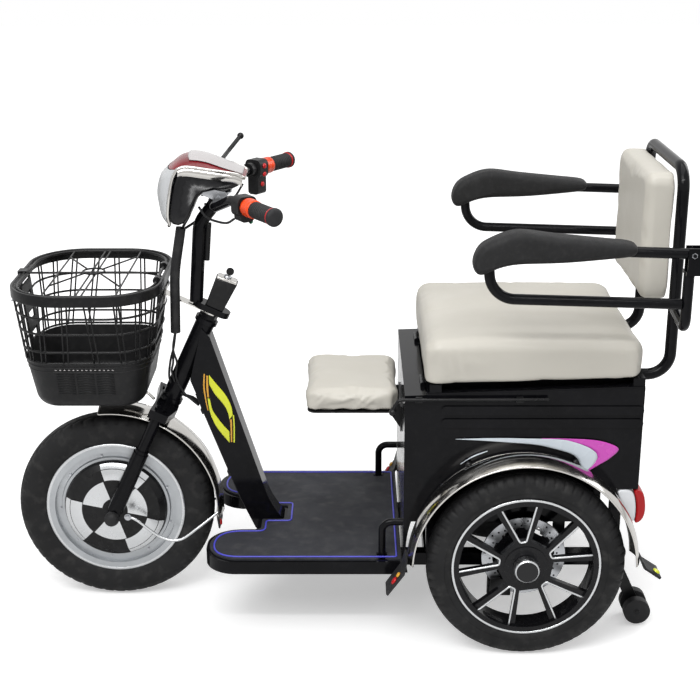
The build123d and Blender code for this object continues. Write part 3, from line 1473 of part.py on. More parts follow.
def arm_route(y):
    """Centre line of an armrest tube: forward under the pad, down and back to the stop."""
    return [
        (ARM_PIVOT[0], y, ARM_PIVOT[1]),
        (ARM_FRONT_X + 6, y, ARM_PIVOT[1] + 14),
        (ARM_FRONT_X - 4, y, ARM_LOWER_Z),
        (BACK_X + 10 + ARM_R + SEAT_GAP + 0.5, y, ARM_LOWER_Z - 12),
    ]


def arm_pad(y):
    """Moulded pad: thick over the front of the tube, thinning to the rear."""
    with BuildPart() as pad:
        with BuildSketch(side_plane(y + ARM_PAD_W / 2)):
            with BuildLine():
                Polyline(
                    (REAR_AXLE_X - 190, 939),
                    (REAR_AXLE_X - 190, 912),
                    (REAR_AXLE_X - 39, 898),
                    (REAR_AXLE_X + 60, 896),
                    (REAR_AXLE_X + 118, 872),
                )
                ThreePointArc(
                    (REAR_AXLE_X + 118, 872), (REAR_AXLE_X + 134, 905), (REAR_AXLE_X + 101, 945)
                )
                ThreePointArc(
                    (REAR_AXLE_X + 101, 945), (REAR_AXLE_X + 50, 965), (REAR_AXLE_X - 37, 953)
                )
                Line((REAR_AXLE_X - 37, 953), (REAR_AXLE_X - 190, 939))
            make_face()
        extrude(amount=ARM_PAD_W)
        add(bent_tube(arm_route(y), [34.0, 54.0], ARM_R + SEAT_GAP), mode=Mode.SUBTRACT)
    return pad.part


for side, name in ((1, "left"), (-1, "right")):
    with BuildPart() as armrest_frame:
        add(bent_tube(arm_route(side * ARM_Y), [34.0, 54.0], ARM_R))
        with BuildSketch(side_plane(side * ARM_Y + ARM_R)):
            with Locations(ARM_PIVOT):
                Circle(ARM_R)
        extrude(amount=2 * ARM_R)
        with BuildSketch(side_plane(side * ARM_Y + ARM_R + 1)):
            with Locations(ARM_PIVOT):
                Circle(4.0 + SHAFT_GAP)
        extrude(amount=2 * ARM_R + 2, mode=Mode.SUBTRACT)
    finish(armrest_frame, f"armrest_frame_{name}")
    with BuildPart() as armrest_pad:
        add(arm_pad(side * ARM_Y))
    finish(armrest_pad, f"armrest_pad_{name}")

# =============================================================================================
# Folding child seat
# =============================================================================================

CHILD_REAR_X = BOX_FRONT_X + RUN_GAP
CHILD_PAN_Z = CHILD_TOP_Z - 50.0
CHILD_PIN_R = 4.0
CHILD_EYE_R = 7.0
CHILD_EAR_Y = 60.0
with BuildPart() as child_bracket:
    for side in (-1, 1):
        with BuildSketch(side_plane(side * CHILD_EAR_Y + 2.0)):
            with BuildLine():
                Polyline(
                    (BOX_FRONT_X + SEAT_GAP, 440),
                    (BOX_FRONT_X + SEAT_GAP, CHILD_HINGE[1] + CHILD_EYE_R),
                    (CHILD_HINGE[0], CHILD_HINGE[1] + CHILD_EYE_R),
                    (CHILD_HINGE[0] + CHILD_EYE_R * 0.7, CHILD_HINGE[1] - CHILD_EYE_R * 0.7),
                    close=True,
                )
            make_face()
            with Locations(CHILD_HINGE):
                Circle(CHILD_EYE_R)
        extrude(amount=4.0)
    with Locations((BOX_FRONT_X + SEAT_GAP, 0, 472)):
        Box(3.0, 2 * CHILD_EAR_Y + 40, 60.0, align=(Align.MIN, Align.CENTER, Align.CENTER))
    with BuildSketch(side_plane(CHILD_EAR_Y + 12)):
        with Locations(CHILD_HINGE):
            Circle(CHILD_PIN_R)
    extrude(amount=2 * CHILD_EAR_Y + 24)
finish(child_bracket, "child_bracket")

with BuildPart() as child_seat_pan:
    with BuildSketch(Plane.XY.offset(CHILD_PAN_Z - SHEET - SEAT_GAP)):
        with Locations((CHILD_REAR_X + CHILD_LENGTH / 2, 0)):
            RectangleRounded(CHILD_LENGTH - 16, CHILD_W - 16, 20.0)
    extrude(amount=SHEET)
    for side in (-1, 1):
        with Locations((CHILD_HINGE[0] + 45, side * (CHILD_EAR_Y - 9), CHILD_PAN_Z - SEAT_GAP - 9)):
            Box(110.0, 5.0, 18.0)
        with BuildSketch(side_plane(side * (CHILD_EAR_Y - 9) + 2.5)):
            with Locations(CHILD_HINGE):
                Circle(9.0)
        extrude(amount=5.0)
    with BuildSketch(side_plane(CHILD_EAR_Y)):
        with Locations(CHILD_HINGE):
            Circle(CHILD_PIN_R + SHAFT_GAP)
    extrude(amount=2 * CHILD_EAR_Y, mode=Mode.SUBTRACT)
finish(child_seat_pan, "child_seat_pan")

with BuildPart() as child_seat_cushion:
    with BuildSketch(Plane.XY.offset(CHILD_PAN_Z)):
        with Locations((CHILD_REAR_X + CHILD_LENGTH / 2, 0)):
            RectangleRounded(CHILD_LENGTH, CHILD_W, 30.0)
    extrude(amount=CHILD_TOP_Z - CHILD_PAN_Z)
    fillet(child_seat_cushion.faces().sort_by(Axis.Z)[-1].edges(), radius=16.0)
finish(child_seat_cushion, "child_seat_cushion")
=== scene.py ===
import json
from math import atan2, copysign, cos, exp, hypot, pi, radians, sin

import bmesh
import bpy
from mathutils import Matrix, Vector, noise


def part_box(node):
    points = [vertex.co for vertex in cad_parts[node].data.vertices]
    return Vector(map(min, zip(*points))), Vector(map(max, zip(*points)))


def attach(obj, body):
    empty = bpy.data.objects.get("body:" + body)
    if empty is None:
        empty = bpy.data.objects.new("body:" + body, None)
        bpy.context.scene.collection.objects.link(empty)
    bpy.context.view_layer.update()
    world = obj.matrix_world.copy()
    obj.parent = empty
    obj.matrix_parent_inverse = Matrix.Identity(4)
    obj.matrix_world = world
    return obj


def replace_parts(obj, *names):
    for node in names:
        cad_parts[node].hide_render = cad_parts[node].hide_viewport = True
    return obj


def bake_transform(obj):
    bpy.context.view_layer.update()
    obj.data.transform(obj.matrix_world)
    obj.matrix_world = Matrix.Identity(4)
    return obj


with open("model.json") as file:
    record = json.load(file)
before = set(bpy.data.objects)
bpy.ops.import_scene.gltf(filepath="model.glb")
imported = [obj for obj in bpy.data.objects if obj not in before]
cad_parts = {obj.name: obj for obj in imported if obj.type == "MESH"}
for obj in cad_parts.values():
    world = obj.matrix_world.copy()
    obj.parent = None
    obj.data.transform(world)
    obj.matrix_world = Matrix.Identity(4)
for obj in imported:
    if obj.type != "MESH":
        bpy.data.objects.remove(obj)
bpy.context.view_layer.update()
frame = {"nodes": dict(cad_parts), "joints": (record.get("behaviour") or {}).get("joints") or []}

JOINTS = {joint["name"]: joint for joint in frame["joints"]}
RX, RY, RZ = JOINTS["rear_left_spin"]["pos_m"]
FX, _, FZ = JOINTS["front_wheel_spin"]["pos_m"]
STEER_AT = Vector(JOINTS["steering_turn"]["pos_m"])
STEER_UP = Vector(JOINTS["steering_turn"]["axis"]).normalized()
STEER_FWD = Vector((STEER_UP.z, 0, -STEER_UP.x))
SCENE = bpy.context.scene
SIDES = ((1, "left"), (-1, "right"))
FRONT_HUB = (FX, 0, FZ)
FENDER_RADIUS = 0.241
COLUMN_SIDE = 0.027
TAIL_LAMP_Y = 0.209
ARM_Y = 0.305
FLAP_Y = 296


def steer(x, y, z):
    """Point given across (x) and along (z) the steering axis, metres."""
    return STEER_AT + STEER_FWD * x + STEER_UP * z + Vector((0, y, 0))


def at(x, y, z):
    """Point given from the rear axle, in millimetres."""
    return Vector((RX + x / 1000, y / 1000, z / 1000))


def outline(pairs):
    """Side outline given from the rear axle in millimetres, turned to metres."""
    return [(RX + x / 1000, z / 1000) for x, z in pairs]


def around(centre, radius, degrees, y=0.0):
    """Point on a circle round a wheel's axis, degrees from straight up, y metres to the side."""
    turn = radians(degrees)
    return Vector((centre[0] + radius * sin(turn), centre[1] + y, centre[2] + radius * cos(turn)))


# ---- Materials ----

DUST = (0.35, 0.34, 0.32, 1)


def fill(tree, node, values):
    """Sets a node's inputs. values: input name or number -> a number, a colour, a socket to link or None."""
    for key, value in values.items():
        if isinstance(value, bpy.types.NodeSocket):
            tree.links.new(value, node.inputs[key])
        elif value is not None:
            node.inputs[key].default_value = value


def add(tree, kind, values=None, **settings):
    """Adds a shader node and returns its outputs."""
    node = tree.nodes.new("ShaderNode" + kind)
    for key, value in settings.items():
        setattr(node, key, value)
    fill(tree, node, values or {})
    return node.outputs


def cloudy(tree, coords, scale, detail):
    return add(tree, "TexNoise", {"Vector": coords, "Scale": scale, "Detail": detail})["Fac"]


def ranged(tree, value, low, high, start=0.3, stop=0.7):
    """Value mapped from start..stop to low..high."""
    ends = {"Value": value, "From Min": start, "From Max": stop, "To Min": low, "To Max": high}
    return add(tree, "MapRange", ends)["Result"]


def mixed(tree, factor, a, b):
    """Colour between a and b."""
    return add(tree, "Mix", {"Factor": factor, 6: a, 7: b}, data_type="RGBA")[2]


def material(name, color, rough, metallic=0.0, tint=0.1, patch=14.0, spread=0.06, grain=(), coat=0.0, dust=0.0,
        shine=0.5):
    """Principled material with patchy colour and roughness. grain: (kind, scale, strength) bumps."""
    made = bpy.data.materials.new(name)
    made.use_nodes = True
    tree = made.node_tree
    coords = add(tree, "TexCoord")["Object"]
    low = (*(c * (1 - tint) for c in color), 1)
    high = (*(min(1.0, c * (1 + tint)) for c in color), 1)
    tone = mixed(tree, ranged(tree, cloudy(tree, coords, patch, 5.0), 0.0, 1.0), low, high)
    if dust:
        specks = ranged(tree, cloudy(tree, coords, patch * 5, 8.0), 0.0, dust, 0.5, 0.85)
        tone = mixed(tree, specks, tone, DUST)
    blots = cloudy(tree, coords, patch * 2.3, 6.0)
    roughness = ranged(tree, blots, max(0.02, rough - spread), min(1.0, rough + spread))
    normal = None
    for kind, scale, strength in grain:
        if kind == "noise":
            height = cloudy(tree, coords, scale, 4.0)
        elif kind == "cells":
            cells = add(tree, "TexVoronoi", {"Vector": coords, "Scale": scale}, feature="DISTANCE_TO_EDGE")
            height = ranged(tree, cells["Distance"], 0.0, 1.0, 0.0, 0.25)
        else:
            waves = {"Vector": coords, "Scale": scale, "Distortion": 0.4}
            height = add(tree, "TexWave", waves, bands_direction=kind.upper())["Fac"]
        bump = {"Strength": strength, "Distance": 0.001, "Height": height, "Normal": normal}
        normal = add(tree, "Bump", bump)["Normal"]
    fill(tree, tree.nodes["Principled BSDF"], {"Base Color": tone, "Roughness": roughness, "Metallic": metallic,
        "Coat Weight": coat, "Coat Roughness": 0.06, "Specular IOR Level": shine, "Normal": normal})
    return made


GLOSS_BLACK = material("gloss_black_paint", (0.004, 0.004, 0.005), 0.12, tint=0.3, spread=0.05,
    grain=(("noise", 420, 0.03),), dust=0.01, shine=0.11)
SATIN_BLACK = material("satin_black_paint", (0.006, 0.006, 0.0065), 0.3, tint=0.25, spread=0.08,
    grain=(("noise", 900, 0.12),), dust=0.03, shine=0.2)
CHROME = material("chrome_plate", (0.56, 0.545, 0.52), 0.13, metallic=1.0, tint=0.08, spread=0.07,
    grain=(("noise", 60, 0.03), ("noise", 700, 0.02)), dust=0.1)
STEEL = material("zinc_steel", (0.44, 0.45, 0.47), 0.3, metallic=1.0, tint=0.12, grain=(("noise", 900, 0.08),))
CAST_SILVER = material("cast_silver", (0.4, 0.415, 0.43), 0.36, metallic=0.8, tint=0.08,
    grain=(("noise", 500, 0.1),), dust=0.08)
MACHINED = material("machined_alloy", (0.58, 0.59, 0.6), 0.26, metallic=1.0, tint=0.05,
    grain=(("noise", 1400, 0.1),))
# Dark lining under the fenders' chrome blades, with dust specks.
DARK_UNDERSIDE = material("dark_lining", (0.035, 0.034, 0.033), 0.6, tint=0.3, grain=(("noise", 500, 0.3),),
    dust=0.2)
WHEEL_BLACK = material("wheel_black", (0.005, 0.005, 0.006), 0.24, tint=0.2, grain=(("noise", 500, 0.06),),
    dust=0.02, shine=0.2)
TYRE = material("tyre_rubber", (0.01, 0.01, 0.0105), 0.62, tint=0.25, patch=9.0, spread=0.12,
    grain=(("noise", 1100, 0.25), ("noise", 90, 0.12)), dust=0.06, shine=0.2)
RUBBER = material("black_rubber", (0.016, 0.016, 0.017), 0.55, tint=0.2, grain=(("noise", 1500, 0.3),),
    dust=0.05, shine=0.2)
MAT = material("mat_rubber", (0.03, 0.031, 0.036), 0.66, tint=0.14, patch=7.0, spread=0.1,
    grain=(("cells", 950, 0.35), ("noise", 2200, 0.2)), dust=0.1, shine=0.2)
PIPING = material("mat_piping", (0.06, 0.06, 0.52), 0.4, tint=0.12, grain=(("noise", 1500, 0.15),))
PLASTIC = material("black_plastic", (0.008, 0.008, 0.0085), 0.42, tint=0.2, grain=(("noise", 1300, 0.22),),
    dust=0.03, shine=0.2)
GLOSS_PLASTIC = material("gloss_plastic", (0.006, 0.006, 0.007), 0.2, tint=0.2, spread=0.05,
    grain=(("noise", 300, 0.02),), shine=0.3)
PAD = material("pad_foam_plastic", (0.011, 0.011, 0.0115), 0.58, tint=0.18, patch=22.0,
    grain=(("cells", 1400, 0.25), ("noise", 2600, 0.2)), dust=0.03, shine=0.2)
VINYL = material("beige_vinyl", (0.47, 0.45, 0.4), 0.46, tint=0.035, patch=6.0, spread=0.07,
    grain=(("cells", 620, 0.1), ("noise", 35, 0.05), ("noise", 1800, 0.06)))
LENS = material("lamp_lens", (0.46, 0.47, 0.48), 0.2, tint=0.05, spread=0.05, grain=(("y", 90, 0.25),),
    shine=0.4)
COVER = material("lamp_cover", (0.42, 0.4, 0.4), 0.24, tint=0.05, grain=(("noise", 260, 0.04),), shine=0.4)
RED = material("red_lens", (0.17, 0.003, 0.008), 0.12, tint=0.3, spread=0.04, grain=(("y", 120, 0.15),),
    shine=0.4)
RED_BRIGHT = material("red_bright", (0.42, 0.005, 0.008), 0.22, tint=0.15, grain=(("x", 160, 0.2),), shine=0.3)
ORANGE = material("orange_ring", (0.72, 0.055, 0.006), 0.22, tint=0.3, patch=60.0, grain=(("noise", 300, 0.1),),
    shine=0.3)
GREEN = material("green_button", (0.0, 0.2, 0.09), 0.3, tint=0.1, grain=(("noise", 500, 0.08),))
WHITE = material("white_lens", (0.72, 0.74, 0.77), 0.2, tint=0.04, grain=(("z", 130, 0.25),), coat=0.5)
YELLOW = material("yellow_film", (0.62, 0.66, 0.01), 0.3, tint=0.06, grain=(("noise", 600, 0.05),), coat=0.3)
AMBER = material("amber_film", (0.62, 0.3, 0.012), 0.3, tint=0.08, grain=(("noise", 600, 0.05),), coat=0.3)
MAGENTA = material("magenta_film", (0.56, 0.045, 0.44), 0.26, tint=0.06, grain=(("noise", 600, 0.05),),
    coat=0.4)
SILVER_FILM = material("silver_film", (0.58, 0.64, 0.7), 0.28, tint=0.05, grain=(("noise", 600, 0.05),),
    coat=0.4)

NODE_LOOKS = (
    (GLOSS_BLACK, "main_frame front_column floor_pan floor_hoops storage_box fork stem handlebar seat_base "
                  "backrest_frame armrest_frame_left armrest_frame_right"),
    (SATIN_BLACK, "rear_axle brake_calipers anti_tip_arms park_lever child_bracket brake_lever basket_wire "
                  "basket_lid hub_motor child_seat_pan"),
    (CHROME, "rear_fenders basket_bracket front_fender"),
    (RUBBER, "rear_mudflaps frame_cables grips front_mudflap cable_sleeve anti_tip_wheels_left "
             "anti_tip_wheels_right"),
    (PLASTIC, "battery_block switch_housings lock_box basket_tub"),
    (TYRE, "front_tyre rear_tyre_left rear_tyre_right"),
    (VINYL, "seat_cushion backrest_cushion child_seat_cushion"),
    (WHEEL_BLACK, "rear_wheel_left rear_wheel_right"),
    (PAD, "armrest_pad_left armrest_pad_right"),
    (MAT, "floor_mat"), (WHITE, "tail_lamps"), (GLOSS_PLASTIC, "headlamp_housing"), (LENS, "headlamp_lens"),
    (COVER, "headlamp_cover"), (CAST_SILVER, "front_rim"),
)
for look, names in NODE_LOOKS:
    for node_name in names.split():
        slots = frame["nodes"][node_name].data.materials
        slots.clear()
        slots.append(look)


# ---- Piece makers ----

def piece(name, mesh, look, body, smooth=True):
    """Links a mesh as a piece that rides on a body, with its look added to the mesh's materials."""
    for polygon in mesh.polygons:
        polygon.use_smooth = smooth
    mesh.materials.append(look)
    made = bpy.data.objects.new(name, mesh)
    SCENE.collection.objects.link(made)
    if body:
        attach(made, body)
    return made


def mesh_from(name, points, faces):
    mesh = bpy.data.meshes.new(name)
    mesh.from_pydata([tuple(p) for p in points], [], faces)
    mesh.update()
    return mesh


def turned_outward(mesh, weld=0.0):
    """Joins points closer than weld and turns every face outward."""
    bm = bmesh.new()
    bm.from_mesh(mesh)
    if weld:
        bmesh.ops.remove_doubles(bm, verts=bm.verts, dist=weld)
    bmesh.ops.recalc_face_normals(bm, faces=bm.faces)
    bm.to_mesh(mesh)
    bm.free()
    return mesh


def bm_mesh(name, bm):
    bmesh.ops.recalc_face_normals(bm, faces=bm.faces)
    mesh = bpy.data.meshes.new(name)
    bm.to_mesh(mesh)
    bm.free()
    return mesh


def smooth_line(points, samples=8):
    """Catmull-Rom line through points in any dimension."""
    spots = [Vector(p) for p in points]
    ends = [spots[0] * 2 - spots[1], *spots, spots[-1] * 2 - spots[-2]]
    line = []
    for a, b, c, d in zip(ends, ends[1:], ends[2:], ends[3:]):
        bend, twist = a * 2 - b * 5 + c * 4 - d, b * 3 - a - c * 3 + d
        for i in range(samples):
            t = i / samples
            line.append((b * 2 + (c - a) * t + bend * t * t + twist * t ** 3) / 2)
    return [*line, spots[-1]]


def pipe(name, lines, radius, look, body, closed=False, sides=10):
    """Round wires or tubes, one along each line."""
    points, faces = [], []
    for line in lines:
        line = [Vector(p) for p in line]
        rings, base = len(line), len(points)
        side = (line[1] - line[0]).cross(line[rings // 2] - line[0])
        if side.length < 1e-9:
            side = (line[1] - line[0]).orthogonal()
        for i, spot in enumerate(line):
            after = line[(i + 1) % rings] if closed or i < rings - 1 else spot
            before = line[i - 1] if closed or i else spot
            along = (after - before).normalized()
            side = (side - along * side.dot(along)).normalized()
            other = along.cross(side)
            for k in range(sides):
                turn = 2 * pi * k / sides
                points.append(spot + (side * cos(turn) + other * sin(turn)) * radius)
        for i in range(rings if closed else rings - 1):
            for k in range(sides):
                here, there = base + i * sides, base + (i + 1) % rings * sides
                after = (k + 1) % sides
                faces.append((here + k, here + after, there + after, there + k))
        if not closed:
            faces.append(tuple(base + k for k in reversed(range(sides))))
            faces.append(tuple(base + (rings - 1) * sides + k for k in range(sides)))
    return piece(name, mesh_from(name, points, faces), look, body)


def tube(name, points, radius, look, body):
    """One smooth wire or tube through points."""
    return pipe(name, [smooth_line(points)], radius, look, body)


def grid_faces(width, rows, closed=False):
    """Faces of a grid of points stored row by row; closed joins the last row to the first."""
    faces = []
    for i in range(rows if closed else rows - 1):
        for j in range(width - 1):
            a = i * width + j
            b = ((i + 1) % rows) * width + j
            faces.append((a, a + 1, b + 1, b))
    return faces


def skin(name, rows, look, body, thick=0.0):
    """Surface through rows of points."""
    faces = grid_faces(len(rows[0]), len(rows))
    made = piece(name, mesh_from(name, [p for row in rows for p in row], faces), look, body)
    if thick:
        solid = made.modifiers.new("thickness", "SOLIDIFY")
        solid.thickness = thick
        solid.offset = -1
    return made


def slab(name, edge, half, rim, look, body, y=0.0, narrow=None, sub=1):
    """Side outline (metres, x and z) given depth across, its edges rounded by rim."""
    line = [Vector(p) for p in edge]
    count = len(line)
    area = sum(line[i - 1].x * line[i].y - line[i].x * line[i - 1].y for i in range(count))
    inward = []
    for i in range(count):
        ahead = (line[i] - line[i - 1]).normalized() + (line[(i + 1) % count] - line[i]).normalized()
        ahead.normalize()
        inward.append(Vector((-ahead.y, ahead.x)) * copysign(1, area))
    layers = [(half - rim * (1 - cos(a)), rim * (1 - sin(a))) for a in (0.0, 0.5, 1.0, pi / 2)]
    layers += [(-w, inset) for w, inset in reversed(layers)]
    points = []
    for w, inset in layers:
        for spot, turn in zip(line, inward):
            p = spot + turn * inset
            points.append((p.x, y + w * (narrow(p.x, p.y) if narrow else 1), p.y))
    faces = grid_faces(count, len(layers))
    faces += [(i * count + count - 1, i * count, i * count + count, i * count + 2 * count - 1)
        for i in range(len(layers) - 1)]
    faces += [tuple(reversed(range(count))), tuple(range(count * (len(layers) - 1), count * len(layers)))]
    made = piece(name, turned_outward(mesh_from(name, points, faces)), look, body)
    if sub:
        fair = made.modifiers.new("fair", "SUBSURF")
        fair.levels = fair.render_levels = sub
    return made


def lathe(name, profile, centre, look, body, axis=(0, 1, 0), steps=96, arc=(0, 360)):
    """Turned piece. profile: (radius, along) pairs; arc in degrees from straight up."""
    axis = Vector(axis).normalized()
    up = (Vector((0, 0, 1)) - axis * axis.z).normalized()
    if up.length < 0.5:
        up = Vector((1, 0, 0))
    across = axis.cross(up)
    closed = arc[1] - arc[0] >= 360
    count = steps if closed else steps + 1
    points = []
    for i in range(count):
        turn = radians(arc[0] + (arc[1] - arc[0]) * i / steps)
        spoke = up * cos(turn) + across * sin(turn)
        points += [Vector(centre) + spoke * r + axis * a for r, a in profile]
    return piece(name, mesh_from(name, points, grid_faces(len(profile), count, closed)), look, body)


def hexes(name, spots, radius, height, look, body, sides=6):
    """Bolt heads on washers. spots: (point, direction)."""
    bm = bmesh.new()
    for spot, direction in spots:
        direction = Vector(direction).normalized()
        turn = direction.to_track_quat("Z", "Y").to_matrix().to_4x4()
        washer = (radius * 1.35, height * 0.25, 0.0, 20, 0.97)
        head = (radius, height, height * 0.25, sides, 0.92)
        for r, h, lift, count, taper in (washer, head):
            place = Matrix.Translation(Vector(spot) + direction * (lift + h / 2)) @ turn
            bmesh.ops.create_cone(bm, cap_ends=True, segments=count, radius1=r, radius2=r * taper, depth=h,
                matrix=place)
    return piece(name, bm_mesh(name, bm), look, body, smooth=False)


def film(name, edge_a, edge_b, place, thickness, look, body):
    """Thin raised film between two edge lines; place turns (u, v, lift) into a point."""
    a, b = smooth_line(edge_a), smooth_line(edge_b)
    count = max(len(a), len(b))

    def sample(line, i):
        t = i / (count - 1) * (len(line) - 1)
        k = min(int(t), len(line) - 2)
        return line[k].lerp(line[k + 1], t - k)

    points, faces = [], []
    across = 6
    for lift in (thickness, 0.0):
        for i in range(count):
            left, right = sample(a, i), sample(b, i)
            for k in range(across + 1):
                spot = left.lerp(right, k / across)
                points.append(place(spot.x, spot.y, lift))
    size = count * (across + 1)
    for i in range(count - 1):
        for k in range(across):
            q = i * (across + 1) + k
            faces.append((q, q + 1, q + across + 2, q + across + 1))
            faces.append((size + q, size + q + across + 1, size + q + across + 2, size + q + 1))
        for k in (0, across):
            q = i * (across + 1) + k
            faces.append((q, q + across + 1, size + q + across + 1, size + q))
    return piece(name, turned_outward(mesh_from(name, points, faces), 1e-6), look, body)


# ---- Tyres with moulded tread ----

def tyre(name, node, body, centre, radius, half, flange, pitches, depth, block):
    """Tyre whose crown and shoulders carry grooves. block(angle share, y share) -> depth share."""
    profile = [(0.152, flange - 0.006), (0.16, flange - 0.0035), (0.1665, flange + 0.0008),
        (0.178, half * 0.95), (radius - 0.038, half * 0.998), (radius - 0.024, half * 0.965),
        (radius - 0.014, half * 0.86), (radius - 0.0065, half * 0.68), (radius - 0.0022, half * 0.42),
        (radius - 0.0004, half * 0.15)]
    side = smooth_line(profile, 6)
    ring = [(p.x, p.y) for p in side] + [(radius, 0.0)] + [(p.x, -p.y) for p in reversed(side)]
    steps = pitches * 8
    points = []
    for i in range(steps):
        turn = 2 * pi * i / steps
        for r, y in ring:
            crown = min(1.0, max(0.0, (r - (radius - 0.026)) / 0.01))
            cut = depth * crown * block(i / 8 % 1, y / half)
            wave = 0.0003 * sin(turn * 3 + y * 60)
            rr = r - cut + wave - 0.0003
            points.append((centre[0] + rr * sin(turn), centre[1] + y, centre[2] + rr * cos(turn)))
    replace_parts(piece(name, mesh_from(name, points, grid_faces(len(ring), steps, True)), TYRE, body), node)


def road_tread(share, y):
    """Shallow wavy grooves round the crown with short cuts at the shoulder."""
    groove = 0.0
    for line in (-0.45, 0.0, 0.45):
        offset = abs(y - line - 0.05 * sin(2 * pi * share))
        groove = max(groove, 1.0 if offset < 0.045 else 0.0)
    if 0.55 < abs(y) < 0.9 and 0.35 < share < 0.6:
        groove = max(groove, 0.8)
    return groove


def block_tread(share, y):
    """Shoulder lugs with a zigzag centre rib."""
    zig = 0.16 * (1 - 4 * abs(share - 0.5))
    if abs(y) > 0.5:
        return 1.0 if 0.3 < share < 0.62 else 0.0
    if abs(abs(y) - 0.3 - zig * 0.4) < 0.06:
        return 1.0
    return 0.8 if abs(y - zig) < 0.05 else 0.0


tyre("front_tyre_cover", "front_tyre", "front_wheel", FRONT_HUB, 0.229, 0.038, 0.031, 52, 0.0025, road_tread)
for side, name in SIDES:
    tyre(f"rear_tyre_cover_{name}", f"rear_tyre_{name}", f"rear_wheel_{name}", (RX, side * RY, RZ), 0.216,
        0.032, 0.027, 60, 0.0036, block_tread)

# ---- Front wheel: sector rings on the motor, studs, bright lips, axle covers and fender stays ----
MOTOR_FACE = 0.0442
# Outer and inner ring: (radius, y) profile and first angle
SECTORS = (([(0.077, MOTOR_FACE), (0.103, MOTOR_FACE), (0.1163, MOTOR_FACE - 0.0087)], 45),
    ([(0.03, MOTOR_FACE), (0.0755, MOTOR_FACE)], 108))
for side, tag in SIDES:
    for band, (profile, start) in enumerate(SECTORS):
        for k in range(3):
            low = start + 120 * k - 90
            turned = [(r, side * (y + 0.0004)) for r, y in profile]
            lathe(f"hub_sector_{tag}_{band}_{k}", turned, FRONT_HUB, MACHINED, "front_wheel", steps=20,
                arc=(low, low + 60))
    lathe(f"rim_lip_{tag}", [(0.1545, side * 0.03), (0.156, side * 0.0316), (0.1608, side * 0.0316),
        (0.1618, side * 0.03)], FRONT_HUB, MACHINED, "front_wheel")
    out = (0, side, 0)
    studs = [(around(FRONT_HUB, 0.1305, 40 * k + 12, side * 0.0205), out) for k in range(9)]
    rivets = [(around(FRONT_HUB, 0.1415, 40 * k + 32, side * 0.0201), out) for k in range(9)]
    hexes(f"rim_studs_{tag}", studs, 0.0026, 0.003, STEEL, "front_wheel", sides=12)
    hexes(f"rim_rivets_{tag}", rivets, 0.0018, 0.002, STEEL, "front_wheel", sides=8)
    # axle nut with a domed rubber cover, and the bent stay from the fork foot to the fender's clip
    lathe(f"axle_cover_{tag}", [(0.0165, side * 0.0862), (0.0172, side * 0.0925), (0.015, side * 0.099),
        (0.0095, side * 0.1032), (0.0002, side * 0.1045)], FRONT_HUB, RUBBER, "steering", steps=40)
    tube(f"fender_stay_{tag}", [at(891, side * 74, 226), at(872, side * 74, 217), at(820, side * 76, 176),
        at(777, side * 75, 168), at(735, side * 66, 193), at(700, side * 50, 216), at(688, side * 43, 224)],
        0.0032, MACHINED, "steering")
    hexes(f"stay_bolt_{tag}", [(at(893, side * 76, 227), out)], 0.0062, 0.005, STEEL, "steering")

# ---- Rear wheels: machined V edges, drilled rotor, lip, cap and disc bolts ----
for side, name in SIDES:
    body = f"rear_wheel_{name}"
    hub = (RX, side * RY, RZ)
    face_y = side * (RY + 0.0201)
    edges = []
    for k in range(5):
        turn = Matrix.Rotation(radians(8 + 72 * k), 3, "Y")
        line = [(0.044, 0.146), (0.04, 0.143), (0.038, 0.14), (0.023, 0.101), (0.009, 0.064), (0.0072, 0.0598),
            (0.004, 0.058), (-0.004, 0.058), (-0.0072, 0.0598), (-0.009, 0.064), (-0.023, 0.101),
            (-0.038, 0.14), (-0.04, 0.143), (-0.044, 0.146)]
        edges.append([turn @ Vector((x, 0, z)) + Vector((RX, face_y, RZ)) for x, z in line])
    pipe(f"spoke_edges_{name}", edges, 0.0025, MACHINED, body)
    # rotor face: drilled ring with a scalloped inner edge
    rim, inner, holes = [], [], []
    eighths = [radians(45 * j) for j in range(8)]
    for i in range(120):
        turn = 2 * pi * i / 120
        rim.append((0.0915 * sin(turn), 0.0915 * cos(turn)))
        deep = 0.0655 + 0.0025 * copysign(1, sin(turn * 12))
        inner.append((deep * sin(turn), deep * cos(turn)))
    for i in range(36):
        turn = 2 * pi * (i + 0.5) / 36
        reach = (0.0735, 0.0785, 0.084)[i % 3]
        middle = Vector((reach * sin(turn), reach * cos(turn)))
        holes.append([(middle.x + 0.0024 * sin(a), middle.y + 0.0024 * cos(a)) for a in eighths])
    bm = bmesh.new()
    rotor_edges = []
    for ring in (rim, inner, *holes):
        verts = [bm.verts.new((RX + u, side * (RY - 0.0294), RZ + v)) for u, v in ring]
        rotor_edges += [bm.edges.new((verts[i - 1], verts[i])) for i in range(len(verts))]
    bmesh.ops.triangle_fill(bm, use_beauty=True, use_dissolve=False, edges=rotor_edges)
    rotor = piece(f"rotor_face_{name}", bm_mesh(f"rotor_face_{name}", bm), STEEL, body, smooth=False)
    solid = rotor.modifiers.new("thickness", "SOLIDIFY")
    solid.thickness = 0.0006
    lathe(f"rim_edge_{name}", [(0.1562, side * 0.0268), (0.1568, side * 0.0277), (0.1604, side * 0.0277),
        (0.1612, side * 0.0268)], hub, MACHINED, body)
    lathe(f"hub_cap_{name}", [(0.0274, side * 0.024), (0.0278, side * 0.04), (0.0262, side * 0.0462),
        (0.0236, side * 0.0476)], hub, MACHINED, body, steps=48)
    lathe(f"hub_plug_{name}", [(0.0236, side * 0.0474), (0.02, side * 0.0482), (0.008, side * 0.0486),
        (0.0002, side * 0.0487)], hub, GLOSS_PLASTIC, body, steps=48)
    disc_bolts = [(around((RX, 0, RZ), 0.03, 60 * k + 30, side * (RY - 0.034)), (0, -side, 0))
        for k in range(6)]
    hexes(f"disc_bolts_{name}", disc_bolts, 0.004, 0.003, STEEL, body)

